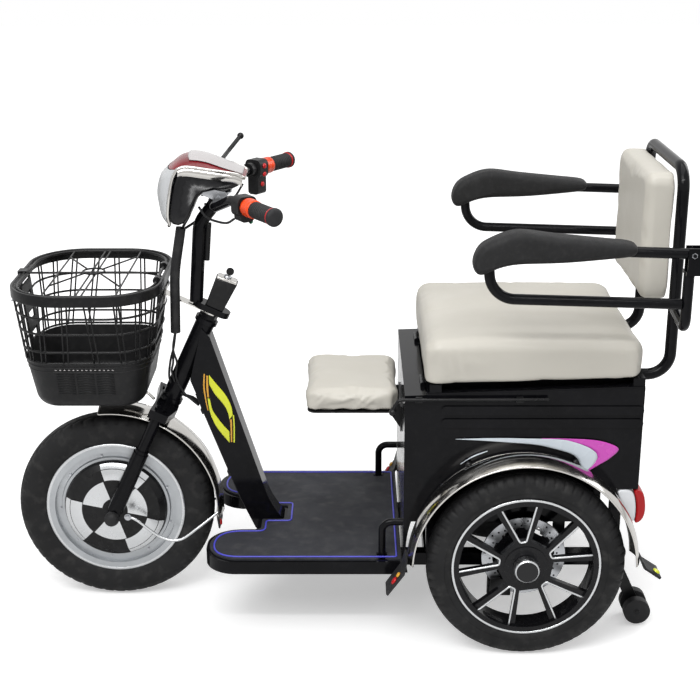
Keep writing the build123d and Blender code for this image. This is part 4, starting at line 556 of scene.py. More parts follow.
# ---- Colour films on the box sides and the column ----
BOX_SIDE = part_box("storage_box")[1].y
# Name, two edge lines (millimetres from the rear axle), wall it lies on, thickness, look
FILMS = (
    ("swoosh_silver", [(154, 487), (68, 489), (6, 488), (-76, 485), (-121, 472), (-145, 458), (-152, 445),
     (-144, 427), (-131, 414)], [(154, 486.5), (110, 484), (68, 481), (-15, 474), (-56, 465), (-94, 453),
     (-109, 441), (-116, 427), (-130, 412)], BOX_SIDE, 0.0006, SILVER_FILM),
    ("swoosh_magenta", [(-30, 488.5), (-76, 488), (-137, 485), (-174, 477), (-196, 463), (-177, 441),
     (-153, 425), (-132, 411)], [(-30, 487.5), (-76, 485.5), (-121, 472.5), (-145, 458.5), (-152, 445),
     (-150, 438), (-144, 427), (-131, 413)], BOX_SIDE, 0.0007, MAGENTA),
    ("swoosh_arc", [(142, 429), (116, 447.5), (85, 460)], [(142, 428), (117, 444), (85, 458)], BOX_SIDE,
     0.0005, SILVER_FILM),
    ("eye_rear", [(699, 559), (684, 538), (669, 519), (658, 501), (650, 479), (648, 461)], [(699, 535),
     (687, 512), (674, 495), (664, 480), (658, 464), (656, 450)], COLUMN_SIDE, 0.0005, YELLOW),
    ("eye_rear_line", [(655, 450), (654, 434), (654, 394)], [(650, 450), (650, 434), (651, 394)], COLUMN_SIDE,
     0.0005, AMBER),
    ("eye_rear_edge", [(648, 461), (647, 434), (648, 393)], [(645, 461), (644, 434), (645, 393)], COLUMN_SIDE,
     0.0005, YELLOW),
    ("eye_front", [(704, 503), (700, 470), (690, 440), (674, 414), (657, 392)], [(699, 500), (694, 474),
     (684, 456), (671, 437), (657, 420)], COLUMN_SIDE, 0.0005, YELLOW),
    ("eye_front_line", [(705, 557), (706, 530), (704.5, 505)], [(701, 557), (701.5, 530), (700.5, 503)],
     COLUMN_SIDE, 0.0005, AMBER),
    ("eye_front_edge", [(711, 561), (713, 530), (710, 500), (705, 472)], [(708, 561), (709.5, 530), (707, 500),
     (703, 472)], COLUMN_SIDE, 0.0005, AMBER),
)
for side, tag in SIDES:
    for part, edge_a, edge_b, wall, thickness, look in FILMS:
        def on_wall(x, z, lift, side=side, wall=wall):
            return Vector((RX + x / 1000, side * (wall + lift), z / 1000))

        film(f"{part}_{tag}", edge_a, edge_b, on_wall, thickness, look, "frame")

# ---- Mat piping ----
mat_low, mat_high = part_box("floor_mat")


def rounded_plan(corners, radii, steps=8):
    """Closed plan line with rounded corners."""
    line = []
    count = len(corners)
    for i, radius in enumerate(radii):
        here = Vector(corners[i])
        back = (Vector(corners[i - 1]) - here).normalized()
        ahead = (Vector(corners[(i + 1) % count]) - here).normalized()
        for k in range(steps + 1):
            t = k / steps
            line.append(here + back * radius * (1 - t) ** 2 + ahead * radius * t ** 2)
    return line


inset = 10.0
half = mat_high.y * 1000 - inset
front = (mat_high.x - RX) * 1000 - inset
notch, slot_half, notch_x, slot_x, rear = 85 + 7 + inset, 31 + 7 + inset, 585 - inset, 527 - inset, 277.0
plan = [(rear, -half), (front, -half), (front, -notch), (notch_x, -notch), (notch_x, -slot_half),
    (slot_x, -slot_half), (slot_x, slot_half), (notch_x, slot_half), (notch_x, notch), (front, notch),
    (front, half), (rear, half)]
radii = [6, 62, 62, 18, 8, 10, 10, 8, 18, 62, 62, 6]
loop = [at(p.x, p.y, mat_high.z * 1000 + 0.2) for p in rounded_plan(plan, radii)]
pipe("mat_piping", [loop], 0.0021, PIPING, "frame", closed=True)


# ---- Fenders: crowned chrome blades with rolled lips and a dark underside ----
REAR_BLADE = at(5, 274, 216)


def fender(name, node, body, centres, radius, half, crown, arc):
    """Chrome skin, dark lining and rolled lips along the blade's edges, for each centre."""
    shares = [-1 + i / 8 for i in range(17)]
    for number, centre in enumerate(centres):
        skin_line = [(radius + crown * (1 - abs(t) ** 1.7), half * t) for t in shares]
        lining = [(r - 0.0018, y * 0.985) for r, y in skin_line]
        shell = lathe(f"{name}_skin_{number}", skin_line, centre, CHROME, body, steps=88, arc=arc)
        inside = lathe(f"{name}_lining_{number}", lining, centre, DARK_UNDERSIDE, body, steps=88,
            arc=arc)
        lips = []
        for edge in (-1, 1):
            lips.append([around(centre, radius - 0.0008, arc[0] + (arc[1] - arc[0]) * i / 88, edge * half)
                for i in range(89)])
        for end in arc:
            lips.append([around(centre, r - 0.0008, end, y) for r, y in skin_line])
        rolled = pipe(f"{name}_lips_{number}", lips, 0.0021, CHROME, body, sides=8)
        for made in (shell, inside, rolled):
            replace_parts(made, node)


fender("rear_fender", "rear_fenders", "frame", [REAR_BLADE,
    Vector((REAR_BLADE.x, -REAR_BLADE.y, REAR_BLADE.z))], FENDER_RADIUS, 0.038, 0.0105, (-88, 88))
fender("front_fender", "front_fender", "steering", [Vector(FRONT_HUB)], FENDER_RADIUS, 0.042, 0.0095, (-94, 6))
spacers = []
for side in (1, -1):
    for x, z in ((-105, 435), (125, 429.6)):
        spacers.append([at(x, side * (BOX_SIDE * 1000 + 0.3), z), at(x, side * 243, z)])
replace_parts(pipe("fender_spacers", spacers, 0.007, SATIN_BLACK, "frame", sides=20),
    "rear_fenders")
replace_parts(pipe("fender_boss", [[steer(0, 0, 0.247), steer(0, 0, 0.2676)]], 0.009, STEEL, "steering",
    sides=24), "front_fender")
bolts = [(around((REAR_BLADE.x, 0, REAR_BLADE.z), 0.244, angle, side * 0.2505), around((0, 0, 0), 1, angle))
    for side in (1, -1) for angle in (-52, 46)]
hexes("fender_bolts", bolts, 0.0045, 0.003, STEEL, "frame")

# ---- Head lamp: hooded housing, red dome with a grey cover, bulging lens, bright ridge and lens frame ----
RIDGE = [(606, 1013), (622, 1023), (681, 1035), (727, 1042), (746, 1037)]
CREST = [(603, 1017), (648, 1034), (691, 1053), (723, 1058), (747, 1053), (771, 1034)]
HALVES = [(606, 46), (640, 56), (700, 66), (746, 68)]
LENS_EDGE = [(746, 1037), (758, 1013), (767, 969), (771, 932), (768, 914)]
LENS_FRONT = [(773, 1033), (789, 1016), (798, 982), (795, 950), (789, 926), (774, 909)]
LENS_HALVES = [(0, 68), (0.5, 66), (0.85, 61), (1, 56)]


def along_line(line, share):
    """Point a share of the way along a smooth line of many points."""
    spots = smooth_line(line, 12)
    spans = [(b - a).length for a, b in zip(spots, spots[1:])]
    left = share * sum(spans)
    for a, b, span in zip(spots, spots[1:], spans):
        if left <= span + 1e-9:
            return a.lerp(b, left / max(span, 1e-9))
        left -= span
    return spots[-1]


def table(pairs, value):
    """Straight-line reading of a small list of pairs."""
    for (a, p), (b, q) in zip(pairs, pairs[1:]):
        if value <= b:
            return p + (q - p) * max(0.0, value - a) / (b - a)
    return pairs[-1][1]


def dome_rows(start, stop, spread, lift):
    """Dome over the ridge line: a share of its length, spread degrees to each side, lifted in millimetres."""
    rows = []
    for i in range(29):
        share = start + (stop - start) * i / 28
        low, high = along_line(RIDGE, share), along_line(CREST, share)
        half = table(HALVES, low.x)
        row = []
        for k in range(25):
            turn = radians(spread * (k / 12 - 1))
            rise = cos(turn) ** 0.85
            row.append(at(low.x + (high.x - low.x) * rise, (half + lift) * sin(turn),
                low.y + (high.y - low.y) * rise + lift * cos(turn)))
        rows.append(row)
    return rows


def lens_rows():
    """Bulging lens from its edge line out to its front line."""
    rows = []
    for i in range(27):
        share = i / 26
        edge, front = along_line(LENS_EDGE, share), along_line(LENS_FRONT, share)
        half = table(LENS_HALVES, share)
        row = []
        for k in range(25):
            turn = radians(90 * (k / 12 - 1))
            out = cos(turn) ** 0.75
            row.append(at(edge.x + (front.x - edge.x) * out, half * sin(turn),
                edge.y + (front.y - edge.y) * out))
        rows.append(row)
    return rows


def lamp_width(x, z):
    """Share of the full half width at a point of the lamp's side outline."""
    return table(HALVES, (x - RX) * 1000) / 68


lamp_side = [(746, 1035), (757, 1012), (766, 969), (770, 932), (767, 912), (732, 909), (714, 954), (700, 990),
    (640, 986), (618, 993), (605, 1008), (621, 1020), (681, 1032), (727, 1039)]
lamp_shell = slab("lamp_shell", outline(lamp_side), 0.067, 0.012, GLOSS_PLASTIC, "steering", narrow=lamp_width)
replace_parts(lamp_shell, "headlamp_housing")
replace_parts(skin("lamp_lens", lens_rows(), LENS, "steering"), "headlamp_lens")
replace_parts(skin("lamp_dome", dome_rows(0, 1, 90, 0), RED, "steering"), "headlamp_cover")
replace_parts(skin("lamp_hood", dome_rows(0.04, 0.72, 50, 2.0), COVER, "steering", thick=0.0018),
    "headlamp_cover")
half_frame, chin = [], []
for i in range(25):
    spot = along_line(RIDGE, i / 24)
    half_frame.append((spot.x, table(HALVES, spot.x) + 0.8, spot.y))
for i in range(1, 21):
    spot = along_line(LENS_EDGE, i / 20)
    half_frame.append((spot.x, table(LENS_HALVES, i / 20) + 1.0, spot.y))
for k in range(1, 12):
    turn = radians(90 - 15 * k)
    out = cos(turn) ** 0.75
    chin.append((768 + 5 * out, 57 * sin(turn), 913 - 5 * out))
far_half = [(x, -y, z) for x, y, z in reversed(half_frame)]
frame_line = [at(*spot) for spot in (*half_frame, *chin, *far_half)]
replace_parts(pipe("lamp_frame", [frame_line], 0.0034, CHROME, "steering", closed=True),
    "headlamp_housing")
for side, tag in SIDES:
    rows = []
    for i in range(21):
        top = along_line(RIDGE, 0.02 + 0.96 * i / 20)
        half = side * (table(HALVES, top.x) + 0.9)
        rows.append([at(top.x + k * 0.4, half + side * (4.2 * sin(k * pi / 8) - 1.5), top.y - 1 - 2.4 * k)
            for k in range(9)])
    made = skin(f"lamp_band_{tag}", rows, CHROME, "steering")
    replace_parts(made, "headlamp_housing")
bracket = [(708, 995), (704, 978), (652, 956), (640, 966), (646, 982)]
for side, tag in SIDES:
    slab(f"lamp_bracket_{tag}", outline(bracket), 0.0016, 0.0006, STEEL, "steering", y=side * 0.04, sub=0)
hexes("lamp_bolts", [(at(662, side * 41.6, 968), (0, side, 0)) for side in (1, -1)], 0.0055, 0.004, STEEL,
    "steering")

# ---- Grips with bright rings, switch pads ----
# Height, look and size of each button
KEYS = {"left": [(0.008, ORANGE, 0.0062), (-0.008, RED_BRIGHT, 0.005), (-0.034, GREEN, 0.006)],
    "right": [(0.007, RED_BRIGHT, 0.006), (-0.012, RED_BRIGHT, 0.0052), (-0.036, RED_BRIGHT, 0.0058)]}
for side, tag in SIDES:
    tip = at(527, side * 300, 987)
    inward = Vector((0.551, -side * 0.835, 0.006)).normalized()
    sleeve = [(0.0115, 0.0)]
    for i in range(77):
        s = 0.008 + 0.001 * i
        sleeve.append((0.0158 + 0.0016 * (0.5 + 0.5 * sin(2 * pi * (s - 0.008) / 0.0064)), s))
    sleeve += [(0.0172, 0.0845), (0.0172, 0.107), (0.015, 0.1092), (0.0115, 0.1094)]
    made = lathe(f"grip_sleeve_{tag}", sleeve, tip, RUBBER, "steering", axis=inward, steps=48)
    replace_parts(made, "grips")
    end = [(0.0002, -0.0062), (0.01, -0.006), (0.0165, -0.0048), (0.019, -0.001), (0.019, 0.0035),
        (0.016, 0.0042)]
    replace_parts(lathe(f"grip_cap_{tag}", end, tip, RUBBER, "steering", axis=inward, steps=48), "grips")
    ring = [(0.0165, 0.004), (0.0184, 0.0045), (0.0184, 0.0078), (0.0165, 0.0082)]
    lathe(f"grip_red_ring_{tag}", ring, tip, RED_BRIGHT, "steering", axis=inward, steps=48)
    ring = [(0.0168, 0.077), (0.019, 0.0782), (0.0195, 0.084), (0.0187, 0.088), (0.0187, 0.091),
        (0.0196, 0.095), (0.0196, 0.103), (0.019, 0.107), (0.0166, 0.1082)]
    lathe(f"grip_orange_ring_{tag}", ring, tip, ORANGE, "steering", axis=inward, steps=48)
    toward_rider = Vector((-0.835, -side * 0.551, 0)).normalized()
    pad_at = tip + inward * 0.124 + toward_rider * 0.0212
    for i, (height, look, size) in enumerate(KEYS[tag]):
        back = -0.007 if height < -0.025 else 0.0
        dome = [(size, -0.001), (size, 0.0022), (size * 0.85, 0.0034), (size * 0.4, 0.0041), (0.0002, 0.0043)]
        lathe(f"key_{tag}_{i}", dome, pad_at + Vector((0, 0, height)) + toward_rider * back, look, "steering",
            axis=toward_rider, steps=28)

# ---- Basket: second wire of each upright pair, tub ribs, lid star and padlock ----
TUB = (0.278, 0.292, 955.0, 0.072)
RIM = (0.32, 0.4, 950.0, 0.115)
TUB_DRAFT = 0.1944
LID_Z = 794.5


def wire_at(z, along, across, turn, shift):
    """Point of the wire wall beside an upright, by height in mm."""
    share = (z - 624) / 159
    length, width, x, corner = (a + (b - a) * share for a, b in zip(TUB, RIM))
    turn += shift / corner / 1000 if 0 < turn < pi / 2 else 0.0
    px = along * (length / 2 - corner) + (corner * copysign(cos(turn), along) if turn < pi / 2 else 0)
    py = across * (width / 2 - corner) + (corner * copysign(sin(turn), across) if turn > 0 else 0)
    if turn == pi / 2:
        px += shift / 1000
    if turn == 0:
        py += shift / 1000
    return Vector((RX + x / 1000 + px, py, z / 1000))


uprights = []
for along in (-1, 1):
    for across in (-1, 1):
        uprights += [(along, across, radians(turn), 10.4) for turn in (20, 45, 70)]
    uprights += [(along * 0.5, across, pi / 2, 10.4) for across in (-1, 1)]
    uprights += [(along, across * 0.7, 0.0, 10.4) for across in (-1, 1)]
pipe("basket_upright_pairs", [[wire_at(z, *place) for z in (624.6, 660, 700, 740, 777)] for place in uprights],
    0.002, SATIN_BLACK, "steering", sides=8)
ribs = []
for side in (1, -1):
    for low in (893, 936, 979):
        for k in range(9):
            z = 552 + 6 * k
            y = side * (146 - (624 - z) * TUB_DRAFT + 0.2)
            ribs.append([at(low + along, y, z) for along in (0, 19, 38)])
pipe("tub_ribs", ribs, 0.0014, PLASTIC, "steering", sides=8)


def tub_loop(z, out):
    """Level line round the tub, out millimetres off its wall."""
    draft = (624 - z) * TUB_DRAFT
    length, width, corner = 278 - 2 * draft + 2 * out, 292 - 2 * draft + 2 * out, 72 - draft * 0.3 + out
    corners = [(955 + sx * length / 2, sy * width / 2) for sx, sy in ((1, 1), (-1, 1), (-1, -1), (1, -1))]
    line = []
    for i, here in enumerate(corners):
        start = (90, 180, 270, 0)[i]
        cx = here[0] - copysign(corner, here[0] - 955)
        cy = here[1] - copysign(corner, here[1])
        for t in range(0, 91, 9):
            turn = radians(start - 90 + t)
            line.append(at(cx + corner * cos(turn), cy + corner * sin(turn), z))
    return line


pipe("tub_ridges", [tub_loop(617, 0.4), tub_loop(606, 0.4)], 0.0016, PLASTIC, "steering", closed=True, sides=8)
# Raised dashes along the tub's slot line; their light grey is a painted highlight standing in for the light the
# slots' top edges catch.
highlight_dashes = []
for side in (1, -1):
    for k in range(14):
        y = side * (146 - 13 * TUB_DRAFT + 0.3)
        highlight_dashes.append([at(x + 9.5 * k, y, 611.5) for x in (892, 894, 896)])
pipe("tub_dash_highlights", highlight_dashes, 0.0011, COVER, "steering", sides=6)
star = [[at(950 + sx * x, sy * y, LID_Z) for x, y in ((16, 16), (45, 66), (76, 120))]
    for sx in (1, -1) for sy in (1, -1)]
pipe("lid_star", star, 0.002, SATIN_BLACK, "basket_lid", sides=8)
pipe("lid_ring", [[at(950 + 24 * cos(t * pi / 18), 24 * sin(t * pi / 18), LID_Z) for t in range(36)]], 0.0022,
    SATIN_BLACK, "basket_lid", closed=True, sides=8)
lock_loop = [at(1118.5, -9, 742), at(1130, -10, 735), at(1136, -6, 728), at(1136, 6, 728), at(1130, 10, 735),
    at(1118.5, 9, 742)]
tube("lid_loop", lock_loop, 0.002, STEEL, "basket_lid")

# ---- Lock box with a plated top and key, brace tube, cable runs ----
lock_low, lock_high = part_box("lock_box")
lock_foot = ((lock_low + lock_high) / 2 - STEER_AT).dot(STEER_UP) - 0.031


def on_stem(pairs):
    """Side outline given across and up the steering axis from the lock's foot."""
    return [(p.x, p.z) for p in (steer(x, 0, lock_foot + z) for x, z in pairs)]


lock_case = on_stem(((0.016, 0.0), (0.02, 0.066), (-0.03, 0.07), (-0.025, 0.0)))
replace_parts(slab("lock_case", lock_case, 0.021, 0.004, PLASTIC, "steering", sub=0), "lock_box")
lock_top = on_stem(((0.019, 0.0655), (0.017, 0.0712), (-0.026, 0.0745), (-0.029, 0.0695)))
slab("lock_top", lock_top, 0.018, 0.002, CHROME, "steering", sub=0)
lathe("lock_barrel", [(0.009, 0.0), (0.009, 0.005), (0.007, 0.0065), (0.0002, 0.0066)],
    steer(-0.004, 0, lock_foot + 0.072), STEEL, "steering", axis=STEER_UP, steps=32)
bow = [(-0.004 + 0.009 * cos(t * pi / 8), 0.088 + 0.009 * sin(t * pi / 8)) for t in range(16)]
slab("key_bow", on_stem(bow), 0.0016, 0.0006, PLASTIC, "steering", sub=0)
pipe("brace_tube", [smooth_line([at(690, 0, 905), at(693, 0, 870), at(697, 0, 820)])], 0.0065, SATIN_BLACK,
    "steering", sides=16)


def cable(name, points, radius, body):
    """Rubber cable through points that ends in the object. Without a body it rides on none, its placement baked
    into its mesh.
    """
    line = smooth_line(points, 10)
    made = pipe(name, [line], radius, RUBBER, body)
    if not body:
        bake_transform(made)


cable("cable_left_switch", [at(617, 190, 958), at(636, 140, 938), at(660, 96, 930), at(688, 62, 932),
    at(706, 36, 948)], 0.0026, "steering")
cable("cable_right_brake", [at(640, -190, 962), at(664, -140, 936), at(690, -84, 920), at(716, -30, 905),
    at(741, 0, 893)], 0.003, "steering")
cable("cable_right_switch", [at(628, -182, 952), at(646, -132, 930), at(672, -80, 924), at(700, -30, 940)],
    0.0026, "steering")
cable("cable_lamp_feed", [at(722, 14, 957), at(728, 18, 930), at(740, 22, 908), at(748, 25, 893)], 0.0032,
    "steering")
for number, (y, front, low) in enumerate(((21, 790, 545), (26, 783, 560), (30, 774, 552))):
    cable(f"cable_loop_{number}", [at(770, y, 664), at(777, y - 1, 622), at(front - 4, y - 2, 588),
        at(front, y - 6, low), at(front - 16, y - 12, 512), at(741, (number - 1) * 9 + 3, 492),
        at(727, (number - 1) * 9, 478)], 0.0026, None)

# ---- Tail lamps, reflectors, arm rest pads, pivot bolts ----
for side, tag in SIDES:
    clear = slab(f"lamp_clear_{tag}", outline(((-196, 366), (-214, 366.5), (-233, 366), (-240, 350),
        (-244, 325), (-244, 300), (-240, 286), (-228, 300), (-212, 335))), 0.0214, 0.004, WHITE, "frame",
        y=side * TAIL_LAMP_Y)
    stop = slab(f"lamp_stop_{tag}", outline(((-234, 366), (-250, 366), (-259, 358), (-263, 338), (-265, 318),
        (-262, 298), (-252, 287), (-241, 285), (-245, 300), (-245, 325), (-241, 350))), 0.0214, 0.004,
        RED_BRIGHT, "frame", y=side * TAIL_LAMP_Y)
    for made in (clear, stop):
        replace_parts(made, "tail_lamps")

for side, tag in SIDES:
    pad_line = [(-188, 939), (-190, 925), (-186, 912), (-150, 908), (-90, 902), (-39, 898), (10, 897),
        (60, 896), (95, 884), (112, 874), (128, 874), (137, 890), (134, 912), (122, 934), (101, 945), (80, 955),
        (50, 964), (18, 961), (-12, 956), (-40, 953), (-90, 948), (-140, 943)]
    pad = slab(f"arm_pad_{tag}", outline(pad_line), 0.0298, 0.016, PAD, f"armrest_{tag}", y=side * ARM_Y, sub=2)
    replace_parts(pad, f"armrest_pad_{tag}")
    hexes(f"arm_bolt_{tag}", [(at(-301, side * 317, 914), (0, side, 0))], 0.0065, 0.005, STEEL,
        f"armrest_{tag}")


def reflector(name, spot, facing, size, look, body):
    """Small domed disc."""
    lathe(name, [(size, -0.0005), (size, 0.0016), (size * 0.8, 0.003), (0.0002, 0.0038)], spot, look, body,
        axis=facing, steps=28)


for side, tag in SIDES:
    reflector(f"flap_red_{tag}", at(284, side * FLAP_Y, 182), (0.826, 0, 0.564), 0.0085, RED_BRIGHT, "frame")
    reflector(f"flap_amber_{tag}", at(275, side * FLAP_Y, 196), (0.826, 0, 0.564), 0.006, AMBER, "frame")
    reflector(f"flap_rear_{tag}", at(-282, side * FLAP_Y, 205), (-0.55, 0, 0.83), 0.008, YELLOW, "frame")
reflector("front_flap_red", at(684.5, 24, 190), (-0.99, 0, 0.1), 0.0075, RED_BRIGHT, "steering")

# ---- Soft goods ----

CLOTH = {"quality": 6, "mass": 0.3, "use_pressure": True, "uniform_pressure_force": 4.0,
    "tension_stiffness": 18, "compression_stiffness": 18, "shear_stiffness": 6, "bending_stiffness": 0.8}
CLOTH_FRAMES = 20
CUSHION_SHRINK = 0.003
CLOTH_CAP = 0.005


def cushion(name, node, body, creases, voxel=0.006):
    """Padded piece: the CAD solid, remeshed, blown up by cloth under pressure, capped and creased."""
    low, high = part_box(node)
    middle = (low + high) / 2
    mesh = frame["nodes"][node].data.copy()
    mesh.name = name
    mesh.materials.clear()
    scale = [1 - 2 * CUSHION_SHRINK / max(high[i] - low[i], 0.02) for i in range(3)]
    for vertex in mesh.vertices:
        for i in range(3):
            vertex.co[i] = middle[i] + (vertex.co[i] - middle[i]) * scale[i]
    made = piece(name, mesh, VINYL, body)
    bm = bmesh.new()
    bm.from_mesh(mesh)
    bmesh.ops.remove_doubles(bm, verts=bm.verts, dist=1e-5)
    bm.to_mesh(mesh)
    bm.free()
    apply_modifier(made, "REMESH", mode="VOXEL", voxel_size=voxel, use_smooth_shade=True)
    start = [vertex.co.copy() for vertex in made.data.vertices]
    cloth = made.modifiers.new("cloth", "CLOTH")
    for key, value in CLOTH.items():
        setattr(cloth.settings, key, value)
    cloth.settings.effector_weights.gravity = 0.0
    cloth.collision_settings.use_collision = False
    cloth.collision_settings.use_self_collision = False
    for number in range(1, CLOTH_FRAMES + 1):
        SCENE.frame_set(number)
    bake_modifiers(made)
    SCENE.frame_set(1)
    for vertex, was in zip(made.data.vertices, start):
        move = vertex.co - was
        if move.length > CLOTH_CAP:
            vertex.co = was + move * (CLOTH_CAP / move.length)
    creases(made.data, low, high)
    for vertex in made.data.vertices:
        for i in range(3):
            vertex.co[i] = min(max(vertex.co[i], low[i] - 0.001), high[i] + (0.006 if i == 2 else 0.001))
    smoothing = made.modifiers.new("fair", "SUBSURF")
    smoothing.levels = smoothing.render_levels = 1
    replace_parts(made, node)


def bake_modifiers(made):
    """Turns the evaluated mesh into the object's own."""
    bpy.context.view_layer.update()
    evaluated = made.evaluated_get(bpy.context.evaluated_depsgraph_get())
    mesh = bpy.data.meshes.new_from_object(evaluated)
    old = made.data
    made.modifiers.clear()
    made.data = mesh
    bpy.data.meshes.remove(old)
    for polygon in mesh.polygons:
        polygon.use_smooth = True


def apply_modifier(made, kind, **settings):
    """Adds one modifier with its settings and bakes it."""
    modifier = made.modifiers.new("step", kind)
    for key, value in settings.items():
        setattr(modifier, key, value)
    bake_modifiers(made)


def corner_folds(mesh, low, high, depth, reach):
    """Gathered folds fanning down each upright corner, and a fine ripple all over."""
    middle = (low + high) / 2
    span = (high - low) / 2
    for vertex in mesh.vertices:
        x, y, z = vertex.co
        away = Vector((x - middle.x, y - middle.y, 0))
        near_x = 1 - min(1.0, (span.x - abs(away.x)) / reach)
        near_y = 1 - min(1.0, (span.y - abs(away.y)) / reach)
        corner = max(0.0, min(near_x, near_y))
        drop = (high.z - z) / (high.z - low.z)
        if corner > 0 and 0.1 < drop:
            angle = atan2(abs(away.y) - span.y + reach, abs(away.x) - span.x + reach)
            fold = sin(angle * 9 + (1.5 * copysign(1, x - middle.x) + away.y * 3))
            amount = depth * corner * fold * sin(pi * min(1.0, drop)) ** 0.7
            direction = away.normalized()
            vertex.co += direction * amount
        ripple = noise.noise(Vector((x * 16, y * 16, z * 30))) * 0.0011
        vertex.co += vertex.normal * ripple


def drape_folds(mesh, low, high, places, depth, width):
    """Soft folds down the walls. places: (corner x sign, y sign, distance from it along x, along y, lean)."""
    for vertex in mesh.vertices:
        x, y, z = vertex.co
        drop = min(1.0, max(0.0, (high.z - z) / (high.z - low.z)))
        if drop < 0.12:
            continue
        fade = sin(pi * min(1.0, drop * 0.92)) ** 0.6
        for sx, sy, dx, dy, lean in places:
            along_x = dx > dy
            slide = lean * drop * 0.05
            spot_x = (high.x if sx > 0 else low.x) - sx * dx + (slide if along_x else 0)
            spot_y = (high.y if sy > 0 else low.y) - sy * dy + (0 if along_x else slide)
            off = hypot(x - spot_x, y - spot_y)
            if off < 3 * width:
                pull = depth * (exp(-(off / width) ** 2) - 0.5 * exp(-((off - 1.6 * width) / width) ** 2))
                outward = Vector((0, sy, 0)) if along_x else Vector((sx, 0, 0))
                vertex.co -= outward * (pull * fade)


def seat_creases(mesh, low, high):
    corner_folds(mesh, low, high, 0.0036, 0.06)
    drape_folds(mesh, low, high, [(1, 1, 0.028, 0.0, 1), (1, 1, 0.06, 0.0, -0.6), (1, 1, 0.0, 0.035, 1),
        (1, -1, 0.03, 0.0, 1), (-1, 1, 0.04, 0.0, -1), (1, -1, 0.0, 0.05, 1)], 0.004, 0.007)
    middle = (low + high) / 2
    span = (high - low) / 2
    for vertex in mesh.vertices:
        u = (vertex.co.x - middle.x) / span.x
        v = (vertex.co.y - middle.y) / span.y
        if vertex.co.z > middle.z:
            vertex.co.z += 0.004 * (1 - u * u) * (1 - v * v) - 0.003 * abs(u) ** 3


def back_creases(mesh, low, high):
    middle = (low + high) / 2
    span = (high - low) / 2
    for vertex in mesh.vertices:
        u = (vertex.co.z - middle.z) / span.z
        v = (vertex.co.y - middle.y) / span.y
        ripple = noise.noise(Vector((vertex.co.x * 20, vertex.co.y * 14, vertex.co.z * 14))) * 0.001
        vertex.co += vertex.normal * ripple
        corner = max(0.0, abs(u) - 0.8) * max(0.0, abs(v) - 0.8) * 25
        vertex.co += vertex.normal * 0.002 * corner * sin(14 * atan2(abs(u) - 0.8, abs(v) - 0.8))


def child_creases(mesh, low, high):
    corner_folds(mesh, low, high, 0.0034, 0.05)
    drape_folds(mesh, low, high, [(1, 1, 0.022, 0.0, 1), (1, 1, 0.055, 0.0, 1), (1, 1, 0.1, 0.0, -1),
        (1, 1, 0.0, 0.03, 1), (1, -1, 0.0, 0.05, -1), (-1, 1, 0.05, 0.0, 1), (1, -1, 0.03, 0.0, 1)], 0.0038,
        0.006)
    for vertex in mesh.vertices:
        drop = (high.z - vertex.co.z) / (high.z - low.z)
        if drop > 0.75:
            vertex.co.z += 0.0022 * sin(vertex.co.x * 140 + vertex.co.y * 90) * (drop - 0.75) * 4


cushion("seat_cushion_soft", "seat_cushion", "seat", seat_creases)
cushion("backrest_cushion_soft", "backrest_cushion", "seat", back_creases)
cushion("child_cushion_soft", "child_seat_cushion", "child_seat", child_creases, voxel=0.004)

# ---- Stage, lights, camera ----

def maths(tree, operation, first, second):
    return add(tree, "Math", {0: first, 1: second}, operation=operation)[0]


def seen_or_mirrored(tree, path):
    """1 for rays from the camera and for those that metal and glass send on."""
    glossy = maths(tree, "MAXIMUM", path["Is Camera Ray"], path["Is Glossy Ray"])
    return maths(tree, "MAXIMUM", glossy, path["Is Transmission Ray"])


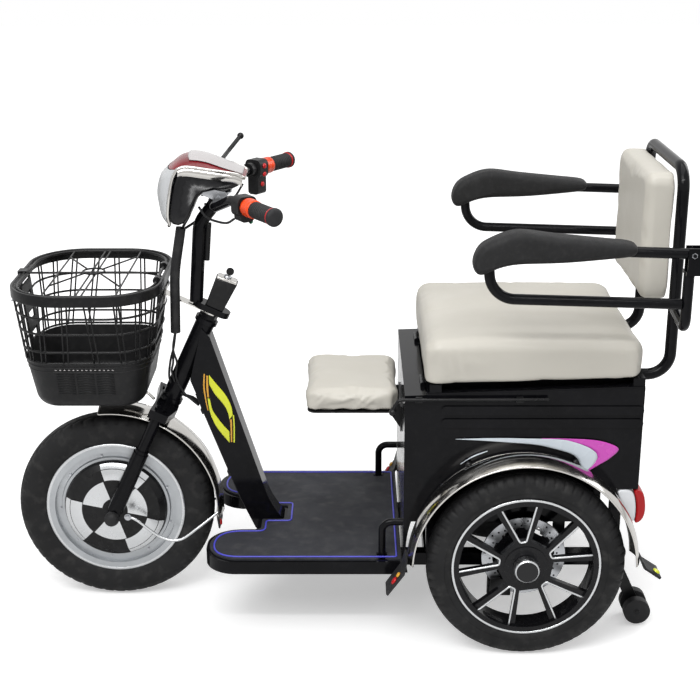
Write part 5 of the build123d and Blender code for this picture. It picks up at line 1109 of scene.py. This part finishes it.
def stage_floor():
    """Pale floor that glows white for the camera, less so near the object, where it keeps the shadow."""
    bm = bmesh.new()
    bmesh.ops.create_grid(bm, x_segments=2, y_segments=2, size=14)
    mesh = bm_mesh("stage_floor", bm)
    floor = bpy.data.objects.new("stage_floor", mesh)
    SCENE.collection.objects.link(floor)
    made = bpy.data.materials.new("floor_white")
    made.use_nodes = True
    tree = made.node_tree
    shader = tree.nodes["Principled BSDF"]
    fill(tree, shader, {"Base Color": (0.82, 0.82, 0.82, 1), "Roughness": 0.9, "Specular IOR Level": 0.1})
    path = add(tree, "LightPath")
    reach = add(tree, "VectorMath", {0: add(tree, "TexCoord")["Object"]}, operation="LENGTH")["Value"]
    near = ranged(tree, reach, 0.42, 0.86, 1.0, 2.8)
    mirrored = maths(tree, "MULTIPLY", seen_or_mirrored(tree, path), 0.25)
    either = maths(tree, "MAXIMUM", mirrored, path["Is Camera Ray"])
    glow = add(tree, "Emission", {"Strength": maths(tree, "MULTIPLY", either, near)})
    both = add(tree, "AddShader", {0: shader.outputs[0], 1: glow[0]})
    fill(tree, tree.nodes["Material Output"], {"Surface": both[0]})
    mesh.materials.append(made)


def world_light(strength):
    """White world: seen at full strength, lighting the object at the given one."""
    world = bpy.data.worlds.new("studio")
    world.use_nodes = True
    SCENE.world = world
    tree = world.node_tree
    seen = seen_or_mirrored(tree, add(tree, "LightPath"))
    shown = ranged(tree, seen, strength, 1.0, 0.0, 1.0)
    fill(tree, tree.nodes["Background"], {"Color": (1, 1, 1, 1), "Strength": shown})


def area_light(name, place, target, size, power, tint=(1, 1, 1)):
    data = bpy.data.lights.new(name, "AREA")
    data.shape = "RECTANGLE"
    data.size, data.size_y = size
    data.energy = power
    data.color = tint
    made = bpy.data.objects.new(name, data)
    SCENE.collection.objects.link(made)
    made.location = place
    made.rotation_mode = "QUATERNION"
    made.rotation_quaternion = (Vector(target) - Vector(place)).to_track_quat("-Z", "Y")


stage_floor()
world_light(0.34)
area_light("key_light", (1.2, 2.6, 3.4), (0, 0, 0.5), (2.6, 2.0), 84)
area_light("strip_light", (0.1, 1.9, 2.5), (0, 0, 0.55), (2.6, 0.14), 22)
area_light("top_light", (-0.3, 0.3, 3.6), (0, 0, 0.4), (3.2, 2.4), 60)
area_light("rear_light", (-2.8, -1.6, 2.4), (0, 0, 0.6), (1.6, 1.8), 30)

camera_data = bpy.data.cameras.new("camera")
camera_data.sensor_width = 36.0
camera_data.lens = 69.28
camera_data.dof.use_dof = False
camera = bpy.data.objects.new("camera", camera_data)
SCENE.collection.objects.link(camera)
aim = Vector((0.00211, -0.94597, -0.32424)).normalized()
right = Vector((-0.999998, -0.001776, -0.001332)).normalized()
up = right.cross(aim).normalized()
camera.matrix_world = Matrix.Translation((RX + 0.37307, 2.89337, 1.60031)) @ Matrix(
    (right, up, -aim)).transposed().to_4x4()
SCENE.camera = camera
SCENE.view_settings.view_transform = "Standard"
